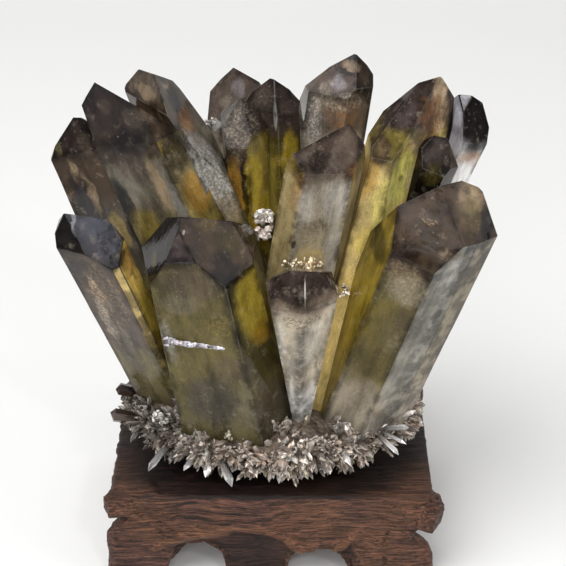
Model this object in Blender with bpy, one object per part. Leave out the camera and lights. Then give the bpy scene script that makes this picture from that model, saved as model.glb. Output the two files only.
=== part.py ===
"""Morion quartz cluster on its carved wooden stand.

Metres, +Z up, front towards -Y, origin under the middle of the whole object. The cluster is one
grown piece: large smoky points that share a crust of small crystals. It lies loose on the stand,
which is carved from a single block of wood.
"""

import math
import random

import bmesh
import bpy
from mathutils import Matrix, Vector

MM = 0.001
UP = Vector((0, 0, 1))

# The stand, a carved block: its height, its half widths, and the rounding of its upright corners.
STAND_HEIGHT = 40 * MM
STAND_HALF_X = 64 * MM
STAND_HALF_Y = 44 * MM
CORNER_RADIUS = 5 * MM
CORNER_STEPS = 4
GAP = 0.3 * MM

# The stand's front view from its top left corner down the left side, along the feet and arches, and
# up the right side (x and height in millimetres).
STAND_FRONT = [
    (-63, 40), (-62, 34), (-58, 31), (-63, 26), (-64, 17), (-63, 11), (-64, 0),
    (-42, 0), (-40, 11), (-34, 19), (-26, 20), (-20, 15), (-19, 11), (-18, 0),
    (6, 0), (7, 11), (8, 14), (15, 16), (23, 17), (27, 14), (29, 11), (31, 0),
    (63, 0), (62, 10), (61, 17), (57, 24), (61, 29), (63, 40),
]
# The arch that runs from side to side under the stand (y and height in millimetres).
SIDE_ARCH = [(-31, -5), (-30, 8), (-25, 15), (-12, 18), (12, 18), (25, 15), (30, 8), (31, -5)]
# Cut branch stubs at the front and back corners: inner end, outer end and radius in millimetres.
STUBS = [
    ((-54, -37, 35.5), (-64, -40, 36), 3.8),
    ((52, -35, 33), (65, -40, 32), 6.4),
    ((-54, 36, 34), (-65, 39, 34), 4.5),
    ((54, 36, 35), (65, 38, 35), 3.8),
]
STUB_SIDES = 8
STUB_NARROWING = 0.88

# The crust that the crystals grow from: half widths, how far its middle lies behind the stand's, and
# its rings from the flat underside up to the top, each with its share of the half widths and its height
# above the underside in millimetres.
CRUST_HALF_X = 56 * MM
CRUST_HALF_Y = 39 * MM
CRUST_BACK = 2 * MM
CRUST_RINGS = [
    (0.62, 0.0), (0.80, 3.2), (0.97, 8.7), (1.00, 13.7), (0.92, 18.7), (0.70, 23.2), (0.35, 25.7),
]
CRUST_SIDES = 32
CRUST_ROUGHNESS = 0.05
CRUST_WAVE = 1.2 * MM

# The large points start inside the crust, each one a step higher than the one before, so that no two
# share a floor. Their sides are measured at this share of their length.
POINT_FLOOR = 46 * MM
FLOOR_STEP = 0.13 * MM
MIDDLE_SHARE = 0.7

# Small crystals in bands round the crust: how many, share of the half widths, height, how far they
# tip up from level (degrees), and their shortest and longest length and width in millimetres.
SMALL_BANDS = [
    (38, 0.93, 48.5, -20, 9, 14, 4.0, 6.5),
    (42, 0.95, 53.0, 4, 10, 16, 4.0, 7.0),
    (36, 0.90, 57.5, 30, 10, 16, 4.0, 7.0),
    (30, 0.76, 61.0, 58, 10, 17, 4.0, 6.5),
]
SMALL_SPREAD = 16.0
SEED = 8

# The few that show best by themselves: foot, tip and width in millimetres.
CHOSEN_SMALL = [
    ((-40, -22, 52), (-50, -41, 45.5), 4.5),
    ((-25, -31, 50), (-29, -44, 44), 3.6),
    ((-13, -33, 50), (-9, -46, 43), 3.6),
    ((-50, -12, 56), (-62, -18, 62), 8.0),
    ((-47, -20, 55), (-58, -30, 57), 6.0),
    ((40, -18, 52), (53, -35, 47), 4.2),
    ((50, -12, 56), (61, -19, 58), 4.2),
    ((6, -4, 60), (3, -22, 112), 7.5),
]


def crystal(name, foot, apex, taper, faces):
    """One point, in millimetres and degrees: the two ends of its long axis, and its faces.

    taper leans every side face inwards on the way up. Each row of faces is one side face and the end
    face above it: turn about the axis from the right, the side's distance from the axis, the end
    face's slope to the axis, and how far it drops below the apex.
    """
    return {
        "name": name,
        "foot": Vector(foot) * MM,
        "apex": Vector(apex) * MM,
        "taper": math.radians(taper),
        "faces": [
            (math.radians(turn), side * MM, math.radians(slope), drop * MM)
            for turn, side, slope, drop in faces
        ],
    }


CRYSTALS = [
    crystal("left_blade", (-41, 1, 55), (-69, -49, 171), -0.5, [
        (-18, 13, 40, 6), (46, 7, 39, 6), (79, 11, 22, 6),
        (172, 11, 36, 1), (246, 8, 38, 10), (293, 14, 49, 14),
    ]),
    crystal("front_broad", (-12, -14, 55), (-30, -41, 174), 2, [
        (-1, 19, 27, -3), (76, 20, 46, 17), (132, 23, 37, 5), (192, 21, 35, 6),
        (259, 15, 29, -1), (317, 18, 37, 12), (10, 40, 23, -10),
    ]),
    crystal("front_short", (12, -20, 55), (11, -60, 156), -6, [
        (9, 10, 36, 2), (84, 11, 42, 10), (130, 11, 38, 6),
        (189, 11, 40, 3), (257, 10, 41, 6), (296, 9, 39, 6),
    ]),
    crystal("front_right", (29, -11, 55), (64, -38, 178), -0.5, [
        (-52, 18, 54, 8), (40, 16, 49, -2), (124, 18, 26, 7), (190, 14, 40, 4),
        (247, 15, 31, 9), (301, 17, 53, 10), (90, 40, 30, -1),
    ]),
    crystal("centre", (6, -1, 55), (26, -20, 196), 0.5, [
        (37, 12, 26, 1), (131, 15, 24, 12), (166, 15, 40, 4),
        (234, 17, 43, 1), (285, 10, 39, 13), (337, 10, 40, 5),
    ]),
    crystal("upper_left", (-6, 0, 55), (-63, -8, 207), 2, [
        (-5, 21, 38, 8), (32, 17, 31, 14), (113, 17, 39, 5),
        (174, 15, 48, 5), (243, 6, 13, 10), (289, 15, 21, -4),
    ]),
    crystal("far_left", (-32, 5, 55), (-77, 8, 186), 0, [
        (10, 13, 38, 6), (60, 13, 35, 10), (133, 13, 33, 10),
        (190, 14, 40, 4), (254, 9, 36, 8), (310, 13, 39, 5),
    ]),
    crystal("back_left", (3, 22, 55), (-48, -2, 209), 1.8, [
        (10, 13, 36, 4), (43, 12, 41, 11), (80, 12, 60, -10), (120, 20, 45, -2),
        (182, 15, 40, 5), (215, 6, 43, 17), (298, 22, 46, -3), (0, 40, 20, 11),
    ]),
    crystal("middle_left", (-6, 8, 55), (-13, 6, 191), 0, [
        (19, 10, 38, 3), (83, 10, 37, 5), (139, 10, 39, 2),
        (187, 6, 40, 7), (257, 11, 37, 6), (319, 10, 38, 4),
    ]),
    crystal("middle_right", (4, 9, 55), (0, 14, 200), 1, [
        (-5, 11, 35, 3), (53, 13, 33, 11), (120, 13, 34, 10),
        (177, 11, 39, 5), (237, 9, 36, 7), (290, 12, 40, 6),
    ]),
    crystal("back_middle", (-14, 18, 55), (-11, 32, 198), 0.5, [
        (-7, 12, 39, 5), (41, 12, 33, 12), (118, 10, 29, 3),
        (173, 13, 39, 5), (235, 12, 27, 12), (293, 12, 40, 4),
    ]),
    crystal("back_tall", (9, 16, 55), (30, 29, 204), 0, [
        (9, 11, 40, 3), (67, 14, 33, 8), (132, 14, 35, 12),
        (190, 14, 40, 7), (253, 12, 40, 9), (314, 11, 35, 4),
    ]),
    crystal("right_tall", (31, 3, 55), (56, 4, 206), 3.5, [
        (33, 21, 43, 0), (113, 17, 24, 9), (150, 12, 38, 10),
        (185, 15, 36, 16), (263, 18, 40, 18), (317, 8, 11, -5),
    ]),
    crystal("right_slim", (29, 4, 60), (66, -2, 177), -1, [
        (20, 7, 35, 3), (89, 7, 36, 3), (141, 7, 39, 0),
        (201, 7, 39, 1), (257, 7, 37, 6), (321, 7, 37, 3),
    ]),
    crystal("far_right", (32, 13, 55), (80, 18, 190), -2, [
        (14, 8, 32, 4), (97, 11, 38, 10), (136, 11, 39, 5),
        (204, 5, 40, 3), (248, 12, 49, 7), (306, 10, 35, 8),
    ]),
    crystal("rear_left", (-30, 17, 55), (-47, 50, 126), 0, [
        (0, 10, 38, 4), (62, 11, 36, 6), (118, 10, 40, 2),
        (182, 10, 38, 5), (240, 11, 37, 7), (299, 10, 39, 3),
    ]),
    crystal("rear_middle", (-6, 21, 55), (-8, 58, 136), 1, [
        (8, 12, 38, 3), (60, 12, 37, 6), (122, 13, 39, 2),
        (180, 12, 36, 5), (239, 11, 38, 7), (302, 12, 40, 4),
    ]),
    crystal("rear_right", (18, 20, 55), (24, 53, 118), 0, [
        (-6, 9, 39, 4), (58, 10, 37, 2), (120, 9, 40, 6),
        (176, 10, 38, 3), (242, 9, 36, 7), (298, 10, 39, 4),
    ]),
    crystal("rear_corner", (37, 13, 55), (58, 42, 124), 0.5, [
        (4, 10, 37, 3), (64, 9, 40, 5), (124, 10, 38, 2),
        (184, 10, 36, 6), (244, 9, 39, 4), (304, 10, 38, 7),
    ]),
]


def frame_of(spec):
    """The point's own axes as a matrix: local +X to the right, +Y to the back, +Z from foot to apex."""
    axis = (spec["apex"] - spec["foot"]).normalized()
    right = Vector((1, 0, 0))
    right = (right - axis * right.dot(axis)).normalized()
    back = axis.cross(right)
    matrix = Matrix((right, back, axis)).transposed().to_4x4()
    matrix.translation = spec["foot"]
    return matrix


def cut(shape, point, normal):
    """Slices off what lies past the plane, and closes the shape with one flat face."""
    geometry = shape.verts[:] + shape.edges[:] + shape.faces[:]
    made = bmesh.ops.bisect_plane(
        shape, geom=geometry, dist=1e-7, plane_co=point, plane_no=normal, clear_outer=True
    )
    rim = [part for part in made["geom_cut"] if isinstance(part, bmesh.types.BMEdge)]
    if rim:
        bmesh.ops.edgeloop_fill(shape, edges=rim)


def crystal_shape(spec, floor):
    """A bmesh of the point: a long block cut by its side faces and its end faces, then by its floor."""
    length = (spec["apex"] - spec["foot"]).length
    shape = bmesh.new()
    bmesh.ops.create_cube(shape, size=1.0)
    bmesh.ops.scale(shape, vec=(8 * length, 8 * length, 4 * length), verts=shape.verts)
    for turn, side, slope, drop in spec["faces"]:
        outward = Vector((math.cos(turn), math.sin(turn), 0))
        middle = UP * length * MIDDLE_SHARE + outward * side
        cut(shape, middle, outward * math.cos(spec["taper"]) + UP * math.sin(spec["taper"]))
        cut(shape, UP * (length - drop), outward * math.cos(slope) + UP * math.sin(slope))
    shape.transform(frame_of(spec))
    cut(shape, UP * floor, -UP)
    return shape


def small_shape(foot, tip, width, rng):
    """A bmesh of one small crystal: a six-sided prism with a six-sided point."""
    axis = tip - foot
    length = axis.length
    point = min(0.45 * length, 0.9 * width)
    shape = bmesh.new()
    prism = bmesh.ops.create_circle(shape, cap_ends=True, segments=6, radius=width / 2)["verts"]
    bmesh.ops.rotate(shape, verts=prism, matrix=Matrix.Rotation(rng.uniform(0, math.pi / 3), 3, "Z"))
    grown = bmesh.ops.extrude_face_region(shape, geom=shape.faces[:])["geom"]
    top = [part for part in grown if isinstance(part, bmesh.types.BMVert)]
    bmesh.ops.translate(shape, verts=top, vec=UP * (length - point))
    lid = next(part for part in grown if isinstance(part, bmesh.types.BMFace))
    poked = bmesh.ops.poke(shape, faces=[lid])["verts"]
    side = Vector((rng.uniform(-0.2, 0.2), rng.uniform(-0.2, 0.2), 0)) * width
    bmesh.ops.translate(shape, verts=poked, vec=UP * point + side)
    bmesh.ops.recalc_face_normals(shape, faces=shape.faces[:])
    shape.transform(Matrix.Translation(foot) @ UP.rotation_difference(axis).to_matrix().to_4x4())
    return shape


def small_shapes():
    """Every small crystal of the crust, banded round its rim, then the few chosen ones."""
    rng = random.Random(SEED)
    shapes = []
    for count, share, height, tip_up, shortest, longest, thin, thick in SMALL_BANDS:
        for index in range(count):
            turn = math.tau * (index + rng.uniform(-0.3, 0.3)) / count
            outward = Vector((math.cos(turn) / CRUST_HALF_X, math.sin(turn) / CRUST_HALF_Y, 0))
            rise = math.radians(tip_up + rng.uniform(-SMALL_SPREAD, SMALL_SPREAD))
            swing = Matrix.Rotation(math.radians(rng.uniform(-SMALL_SPREAD, SMALL_SPREAD)), 3, "Z")
            way = swing @ (outward.normalized() * math.cos(rise) + UP * math.sin(rise))
            length = rng.uniform(shortest, longest) * MM
            width = rng.uniform(thin, thick) * MM
            rim = Vector((
                CRUST_HALF_X * share * math.cos(turn),
                CRUST_HALF_Y * share * math.sin(turn) + CRUST_BACK,
                height * MM,
            ))
            shapes.append(small_shape(rim - way * length * 0.45, rim + way * length * 0.55, width, rng))
    for foot, tip, width in CHOSEN_SMALL:
        shapes.append(small_shape(Vector(foot) * MM, Vector(tip) * MM, width * MM, rng))
    return shapes


def crust_shape():
    """A bmesh of the crust: a rough oval plate, flat underneath, faceted all over."""
    rng = random.Random(SEED)
    shape = bmesh.new()
    rings = []
    for level, (share, height) in enumerate(CRUST_RINGS):
        ring = []
        for index in range(CRUST_SIDES):
            turn = math.tau * (index + 0.5 * (level % 2)) / CRUST_SIDES
            reach = share * (1 + (rng.uniform(-1, 1) * CRUST_ROUGHNESS if level else 0))
            lift = rng.uniform(-1, 1) * CRUST_WAVE if level else 0
            ring.append(shape.verts.new((
                CRUST_HALF_X * reach * math.cos(turn),
                CRUST_HALF_Y * reach * math.sin(turn) + CRUST_BACK,
                STAND_HEIGHT + GAP + height * MM + lift,
            )))
        rings.append(ring)
    for level, (below, above) in enumerate(zip(rings, rings[1:])):
        for index in range(CRUST_SIDES):
            after = (index + 1) % CRUST_SIDES
            if level % 2:
                shape.faces.new((below[index], above[after], above[index]))
                shape.faces.new((below[index], below[after], above[after]))
            else:
                shape.faces.new((below[index], below[after], above[index]))
                shape.faces.new((below[after], above[after], above[index]))
    shape.faces.new(rings[0])
    shape.faces.new(rings[-1])
    bmesh.ops.recalc_face_normals(shape, faces=shape.faces[:])
    return shape


def material(name, colour, roughness):
    """A Principled material of one colour, not metallic."""
    made = bpy.data.materials.new(name)
    made.use_nodes = True
    shader = made.node_tree.nodes["Principled BSDF"]
    shader.inputs["Base Color"].default_value = (*colour, 1)
    shader.inputs["Roughness"].default_value = roughness
    shader.inputs["Metallic"].default_value = 0
    return made


def place(name, shapes, finish=None):
    """One object from one or more bmeshes, which it uses up."""
    mesh = bpy.data.meshes.new(name)
    joined = bmesh.new()
    for shape in shapes:
        shape.to_mesh(mesh)
        joined.from_mesh(mesh)
        shape.free()
    joined.to_mesh(mesh)
    joined.free()
    if finish:
        mesh.materials.append(finish)
    placed = bpy.data.objects.new(name, mesh)
    bpy.context.scene.collection.objects.link(placed)
    return placed


def helper(name, shapes):
    """An object that only cuts or joins another one."""
    placed = place(name, shapes)
    placed.hide_render = True
    placed.display_type = "WIRE"
    return placed


def boolean(target, tool, operation):
    """Adds a Boolean modifier that works on shapes which also overlap among themselves."""
    modifier = target.modifiers.new(tool.name, "BOOLEAN")
    modifier.operation = operation
    modifier.solver = "EXACT"
    modifier.use_self = True
    modifier.object = tool


def extruded(outline, along, start, end):
    """A bmesh of a flat outline, given in the two axes other than along, drawn out from start to end."""
    shape = bmesh.new()
    corners = [Vector(pair).to_3d() for pair in outline]
    face = shape.faces.new([shape.verts.new((x, y, 0)) for x, y, _ in corners])
    grown = bmesh.ops.extrude_face_region(shape, geom=[face])["geom"]
    top = [part for part in grown if isinstance(part, bmesh.types.BMVert)]
    bmesh.ops.translate(shape, verts=top, vec=UP * (end - start))
    axes = {
        "X": Matrix(((0, 0, 1, start), (1, 0, 0, 0), (0, 1, 0, 0), (0, 0, 0, 1))),
        "Y": Matrix(((1, 0, 0, 0), (0, 0, 1, start), (0, 1, 0, 0), (0, 0, 0, 1))),
        "Z": Matrix.Translation(UP * start),
    }
    shape.transform(axes[along])
    bmesh.ops.recalc_face_normals(shape, faces=shape.faces[:])
    return shape


def rounded_plan():
    """The outline of the stand from above: a rectangle with rounded corners."""
    outline = []
    for quarter, (side_x, side_y) in enumerate(((1, 1), (-1, 1), (-1, -1), (1, -1))):
        middle_x = side_x * (STAND_HALF_X - CORNER_RADIUS)
        middle_y = side_y * (STAND_HALF_Y - CORNER_RADIUS)
        for step in range(CORNER_STEPS + 1):
            turn = math.tau / 4 * (quarter + step / CORNER_STEPS)
            outline.append((
                middle_x + CORNER_RADIUS * math.cos(turn),
                middle_y + CORNER_RADIUS * math.sin(turn),
            ))
    return outline


def stub_shape(inner, outer, radius):
    """A bmesh of one cut branch stub."""
    start = Vector(inner) * MM
    way = Vector(outer) * MM - start
    shape = bmesh.new()
    bmesh.ops.create_cone(
        shape,
        cap_ends=True,
        segments=STUB_SIDES,
        radius1=radius * MM,
        radius2=radius * MM * STUB_NARROWING,
        depth=way.length,
    )
    turned = UP.rotation_difference(way).to_matrix().to_4x4()
    shape.transform(Matrix.Translation(start + way / 2) @ turned)
    return shape


def in_metres(pairs):
    return [(first * MM, second * MM) for first, second in pairs]


def stand():
    """The wooden stand: its front view drawn out to the back, rounded in plan, arched from side to side."""
    finish = material("carved_wood", (0.085, 0.034, 0.022), 0.42)
    block = place(
        "display_stand",
        [extruded(in_metres(STAND_FRONT), "Y", -STAND_HALF_Y, STAND_HALF_Y)],
        finish,
    )
    plan = helper("stand_plan", [extruded(rounded_plan(), "Z", -5 * MM, 2 * STAND_HEIGHT)])
    arch = helper(
        "stand_arch",
        [extruded(in_metres(SIDE_ARCH), "X", -2 * STAND_HALF_X, 2 * STAND_HALF_X)],
    )
    stubs = helper("stand_stubs", [stub_shape(*row) for row in STUBS])
    boolean(block, plan, "INTERSECT")
    boolean(block, arch, "DIFFERENCE")
    boolean(block, stubs, "UNION")
    return block


def cluster():
    """The grown piece: the crust with every point and every small crystal joined to it."""
    finish = material("smoky_quartz", (0.115, 0.092, 0.062), 0.12)
    crust = place("quartz_cluster", [crust_shape()], finish)
    points = helper("large_points", [
        crystal_shape(spec, POINT_FLOOR + FLOOR_STEP * index) for index, spec in enumerate(CRYSTALS)
    ])
    small = helper("small_points", small_shapes())
    boolean(crust, points, "UNION")
    boolean(crust, small, "UNION")
    return crust


def centre_on_floor(pieces):
    """Moves every object so that the origin is under the middle of the pieces, on the floor."""
    bpy.context.view_layer.update()
    graph = bpy.context.evaluated_depsgraph_get()
    corners = []
    for piece in pieces:
        corners += [Vector(corner) for corner in piece.evaluated_get(graph).bound_box]
    low = Vector(min(corner[axis] for corner in corners) for axis in range(3))
    high = Vector(max(corner[axis] for corner in corners) for axis in range(3))
    shift = Vector((-(low.x + high.x) / 2, -(low.y + high.y) / 2, -low.z))
    for placed in bpy.context.scene.objects:
        placed.location = shift


def main():
    for old in list(bpy.data.objects):
        bpy.data.objects.remove(old, do_unlink=True)
    centre_on_floor([stand(), cluster()])


main()
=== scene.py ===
"""The looks of a morion quartz cluster on its carved stand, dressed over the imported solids.

Metres, +Z up, front towards -Y. Large points are glassy solids with smoke at their tips, the crust
is a joined mesh of many small crystals, and the stand is carved hardwood.
"""

import math
import random

import bmesh
import bpy
from mathutils import Matrix, Vector, noise


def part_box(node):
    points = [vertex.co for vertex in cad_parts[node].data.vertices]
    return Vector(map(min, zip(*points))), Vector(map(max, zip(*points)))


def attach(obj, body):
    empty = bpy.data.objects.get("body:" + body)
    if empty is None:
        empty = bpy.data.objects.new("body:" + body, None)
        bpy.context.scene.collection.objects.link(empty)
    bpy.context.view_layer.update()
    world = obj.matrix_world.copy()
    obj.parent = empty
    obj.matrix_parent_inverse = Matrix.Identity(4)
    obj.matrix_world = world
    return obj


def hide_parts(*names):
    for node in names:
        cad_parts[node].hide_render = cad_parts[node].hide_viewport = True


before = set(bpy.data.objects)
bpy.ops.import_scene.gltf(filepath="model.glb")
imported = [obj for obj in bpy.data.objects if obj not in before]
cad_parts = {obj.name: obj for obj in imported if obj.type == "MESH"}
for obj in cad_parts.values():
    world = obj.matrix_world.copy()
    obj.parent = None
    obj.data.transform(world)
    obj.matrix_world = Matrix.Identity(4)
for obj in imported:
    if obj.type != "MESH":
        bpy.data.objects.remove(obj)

MM = 0.001
UP = Vector((0, 0, 1))
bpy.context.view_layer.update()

# The solids are drawn with the stand's own middle at x 0, y 0, and then moved so that the origin lies
# under the middle of the whole object. Its highest corner before that move gives the move back. The
# crust's flat underside lies a small gap above the stand.
STAND_HIGH_CORNER = Vector((66.98, 44.0, 40.0)) * MM
SHIFT = Vector(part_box("display_stand")[1]) - STAND_HIGH_CORNER
STAND_HEIGHT = 40 * MM
GAP = 0.3 * MM

# The crust that the crystals grow from: half widths, how far its middle lies behind the stand's, and
# its rings from the flat underside up to the top, each with its share of the half widths and its height
# above the underside in millimetres. Its lumps are waves of noise: how often they come, and how high.
CRUST_HALF_X = 56 * MM
CRUST_HALF_Y = 39 * MM
CRUST_BACK = 2 * MM
CRUST_RINGS = [
    (0.62, 0.0), (0.80, 3.2), (0.97, 8.7), (1.00, 13.7), (0.92, 18.7), (0.70, 23.2), (0.35, 25.7),
]
GROUND_SIDES = 120
GROUND_SPLIT = 4
GROUND_LUMPS = [(120, 1.4), (400, 0.8)]
SEED = 8

# The camera, in the solids' own drawing frame: place, how far it looks down, and its lens.
CAMERA_PLACE = Vector((4.4, -552.8, 417.05)) * MM
CAMERA_DOWN = math.radians(29)
FRAME_PIXELS = 566
FOCAL_PIXELS = 1620
SENSOR_MM = 36.0

# The large points: the level floor that each is cut off at, a little higher from one to the next so
# that no two floors meet, and the share of a point's length at which the distances of its sides are
# taken. A vertex this near to a cut lies on it. A bit of surface belongs to a face when the cosine
# between their directions is above one limit and it lies this near to the face's plane, in metres.
# The block that a point is cut from is this many times as wide and as high as the point is long.
POINT_FLOOR = 46 * MM
FLOOR_STEP = 0.13 * MM
MIDDLE_SHARE = 0.7
BLOCK_WIDTH = 8
BLOCK_HEIGHT = 4
ON_CUT = 1e-7
SAME_WAY = 0.9998
SAME_PLANE = 2e-5

# How the large points are worked: eased edges, a grid of vertices to move with its rows on each side of
# the axis and its layers from the foot up, growth steps, and a warp by noise, moved along from one
# point to the next. A vertex this near to the axis has no side to step in from.
EDGE_SEGMENTS = 3
GRID_STEP = 4 * MM
GRID_ROWS = 11
GRID_LAYERS = 44
STEP_COUNT = 6
STEP_LENGTH = 0.4 * MM
STEP_DEPTH = 0.05 * MM
STEP_SPAN = (0.2, 0.68)
WARP = 0.18 * MM
WARP_OFTEN = 60
WARP_SHIFT = 7.3
ON_AXIS = 1e-6

# The finish of the crystals. The mottling inside the large points comes in three sizes: how far it is
# drawn out along the point, how often it comes, how rough it is and how strong. The level is where the
# three even out.
QUARTZ_IOR = 1.54
QUARTZ_GLOSS = 0.08
DRUSE_GLOSS = 0.18
QUARTZ_SHEEN = (0.3, 0.3, 0.32, 1.0)
MOTTLING = [(0.45, 0.16, 0.6, 2.0), (0.3, 1.6, 0.7, 0.9), (1.0, 2.0, 0.7, 1.2)]
MOTTLING_LEVEL = 2.05

# The small crystals of the crust, in bands of (how many, share of the half widths, height, how far they
# tip up from level in degrees, shortest, longest, thinnest, thickest). They scatter by some degrees and
# by a share of their spacing, part of each lies in the crust, and all are slimmer than their row says.
SMALL_BANDS = [
    (38, 0.93, 48.5, -20, 9, 14, 4.0, 6.5),
    (42, 0.95, 53.0, 4, 10, 16, 4.0, 7.0),
    (36, 0.90, 57.5, 30, 10, 16, 4.0, 7.0),
    (30, 0.76, 61.0, 58, 10, 17, 4.0, 6.5),
]
SMALL_SPREAD = 16.0
SMALL_STAGGER = 0.3
BURIED_SHARE = 0.45
BAND_SLIMNESS = 0.62

# The small crystals that show best by themselves: foot, tip, width and the colours of side and tip, all
# in millimetres. The black ones are blunt.
CLEAR = (0.90, 0.88, 0.87)
SMOKED = (0.15, 0.10, 0.08)
BLACK = (0.02, 0.015, 0.013)
CHOSEN_SMALL = [
    ((-42, -29, 53), (-48, -39, 49), 4.0, CLEAR, CLEAR),
    ((-30, -33, 53), (-34, -41, 50), 3.2, CLEAR, CLEAR),
    ((-25, -34, 51), (-25, -42, 47.5), 3.4, CLEAR, CLEAR),
    ((-20, -35, 52), (-15, -44, 45), 3.8, CLEAR, CLEAR),
    ((-50, -2, 60), (-63, -3, 64), 5.5, SMOKED, BLACK),
    ((-52, -9, 53), (-65, -10, 56), 6.2, SMOKED, BLACK),
    ((26, -30, 55), (31, -38, 50.5), 3.6, CLEAR, CLEAR),
    ((43, -22, 57), (54, -25, 60), 2.8, CLEAR, CLEAR),
    ((43, -22, 56), (53, -28, 54), 2.6, CLEAR, CLEAR),
    ((42, -23, 55), (50, -31, 51), 2.6, CLEAR, CLEAR),
    ((46, -18, 58), (57, -19, 64), 2.6, CLEAR, CLEAR),
]

# A small crystal's shape: its pointed end as a share of its length and against its width, its foot
# against its full width, how flat it may be, and how far its tip may lie aside. Then how light each
# face may be, a painted glint or painted shade for the light that clear crystal catches or loses,
# and how dark its foot is, a painted shade where the crystals crowd, against the crystal's own colour,
# how far its tip goes towards white where no colour is given for it, and how clear the crystals of the
# crust and of the nests are.
PRISM_SIDES = 6
TIP_SHARE = 0.4
TIP_SLOPE = 0.85
BLUNT_SLOPE = 0.3
FOOT_WIDTH = 0.8
FLATNESS = (0.55, 1.0)
TIP_ASIDE = 0.2
PAINTED_FACET_LIGHT = [0.4, 0.55, 0.7, 0.85, 1.0, 1.1, 1.3, 2.2]
FOOT_PAINTED_SHADE = 0.3
TIP_PALENESS = 0.6
CRUST_CLEARNESS = 0.6
NEST_CLEARNESS = 0.15

# The sprays of fine needles: how many, how many needles in each, their levels on the crust (lowest,
# highest and likeliest), how much their directions and feet scatter, and their sizes in millimetres.
# They are smokier at the left end: between these two x their shade goes from one to the other.
SPRAY_COUNT = 520
SPRAY_NEEDLES = (7, 12)
SPRAY_LEVELS = (0.9, 5.7, 2.8)
SPRAY_SCATTER = 0.6
SPRAY_FEET = 1.6 * MM
SPRAY_ROOT = 2
SPRAY_SIZES = (0.5, 1.25)
NEEDLE_LENGTHS = (2.5, 7.0)
NEEDLE_WIDTHS = (1.0, 2.5)
NEEDLE_SHADES = (0.55, 1.35)
TIP_CLEARANCE = 1.2 * MM
SMOKY_END = (-46.0, -22.0)
SMOKY_SHADES = (0.62, 1.35)
DRUSE_TINTS = [
    (0.50, 0.38, 0.29), (0.33, 0.24, 0.17), (0.60, 0.50, 0.42), (0.15, 0.10, 0.07),
    (0.82, 0.76, 0.70), (0.42, 0.29, 0.21), (0.38, 0.31, 0.17), (0.66, 0.57, 0.48),
]

# Nests of needles on the large points: place, way out, how many, longest, thickest, spread and tint.
# Their needles differ in direction, length and thickness, and stand in the face by their roots.
NEST_SCATTER = 0.45
NEST_LENGTHS = (0.4, 1.0)
NEST_WIDTHS = (0.5, 1.0)
NEST_ROOT = 1.5
NESTS = [
    ((-3, -3, 141), (0.1, -0.8, 0.6), 30, 4.5, 3.0, (3.2, 2.0, 2.2), (0.95, 0.93, 0.92)),
    ((-3, -4, 135), (0.1, -0.9, 0.2), 24, 4.0, 3.2, (2.8, 2.0, 2.2), (0.42, 0.27, 0.20)),
    ((-23, 24, 168), (-0.5, -0.6, 0.6), 7, 3.0, 1.6, (1.5, 1.5, 1.5), (0.85, 0.82, 0.80)),
    ((27, -17, 117), (-0.2, -0.9, 0.4), 14, 4.0, 1.6, (2.5, 1.0, 2.5), (0.70, 0.60, 0.42)),
    ((12, -23.5, 131), (0.0, -0.6, 0.8), 46, 4.5, 1.3, (7.5, 0.6, 1.5), (0.85, 0.62, 0.22)),
    ((-43, -26, 64), (-0.2, -0.7, 0.7), 18, 5.0, 2.2, (3.5, 3.0, 3.5), (0.85, 0.82, 0.80)),
]

# The scar on the broad front point: its two ends, its thickness at the thick one, how much of that is
# lost at the other, the lump at its start, how deep it sits and how much it scatters, how far a grain
# reaches along each axis, how many grains there are, and how many of them are pale.
LEDGE_ENDS = ((-38.0, -40.8, 108.3), (-17.5, -43.4, 107.0))
LEDGE_THICK = 2.2
LEDGE_THINNING = 0.45
LEDGE_LUMP = 0.7
LEDGE_LUMP_END = 0.16
LEDGE_INSET = Vector((0, 0.4, 0))
LEDGE_SCATTER = 0.25
LEDGE_REACH = ((0.8, 2.0), (-0.4, 0.2), (-0.35, 0.35))
LEDGE_GRAINS = 56
LEDGE_PALE_SHARE = 0.6

# The stand, in millimetres: its branch stumps as foot, tip and half width at the tip, with how much
# wider the foot is, how finely its surface is worked, and its wood. Its top face carries a painted
# shadow of the crust: dark next to the crust, inside an oval of two half widths, and lighter over a
# span of them, from one shade to another. The top face is what lies above the height where it starts.
STUMPS = [((-46, -37, 36), (-64.5, -44.5, 35.5), 5.6), ((46, -33, 32), (65.5, -44, 29.8), 7.0)]
STUMP_SIDES = 4
STUMP_SPREAD = 1.25
STAND_VOXEL = 0.9 * MM
STAND_SMOOTHING = 7
WOOD_DARK = (0.020, 0.010, 0.008)
WOOD_RED = (0.100, 0.045, 0.031)
WOOD_ORANGE = (0.155, 0.069, 0.033)
WOOD_GLOSS = 0.25
CRUST_SHADOW_X = 66
CRUST_SHADOW_Y = 50
CRUST_SHADOW_SPAN = (0.86, 1.2)
CRUST_SHADOW_SHADES = (0.15, 0.75)
TOP_FACE = (38.0, 39.5)

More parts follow.
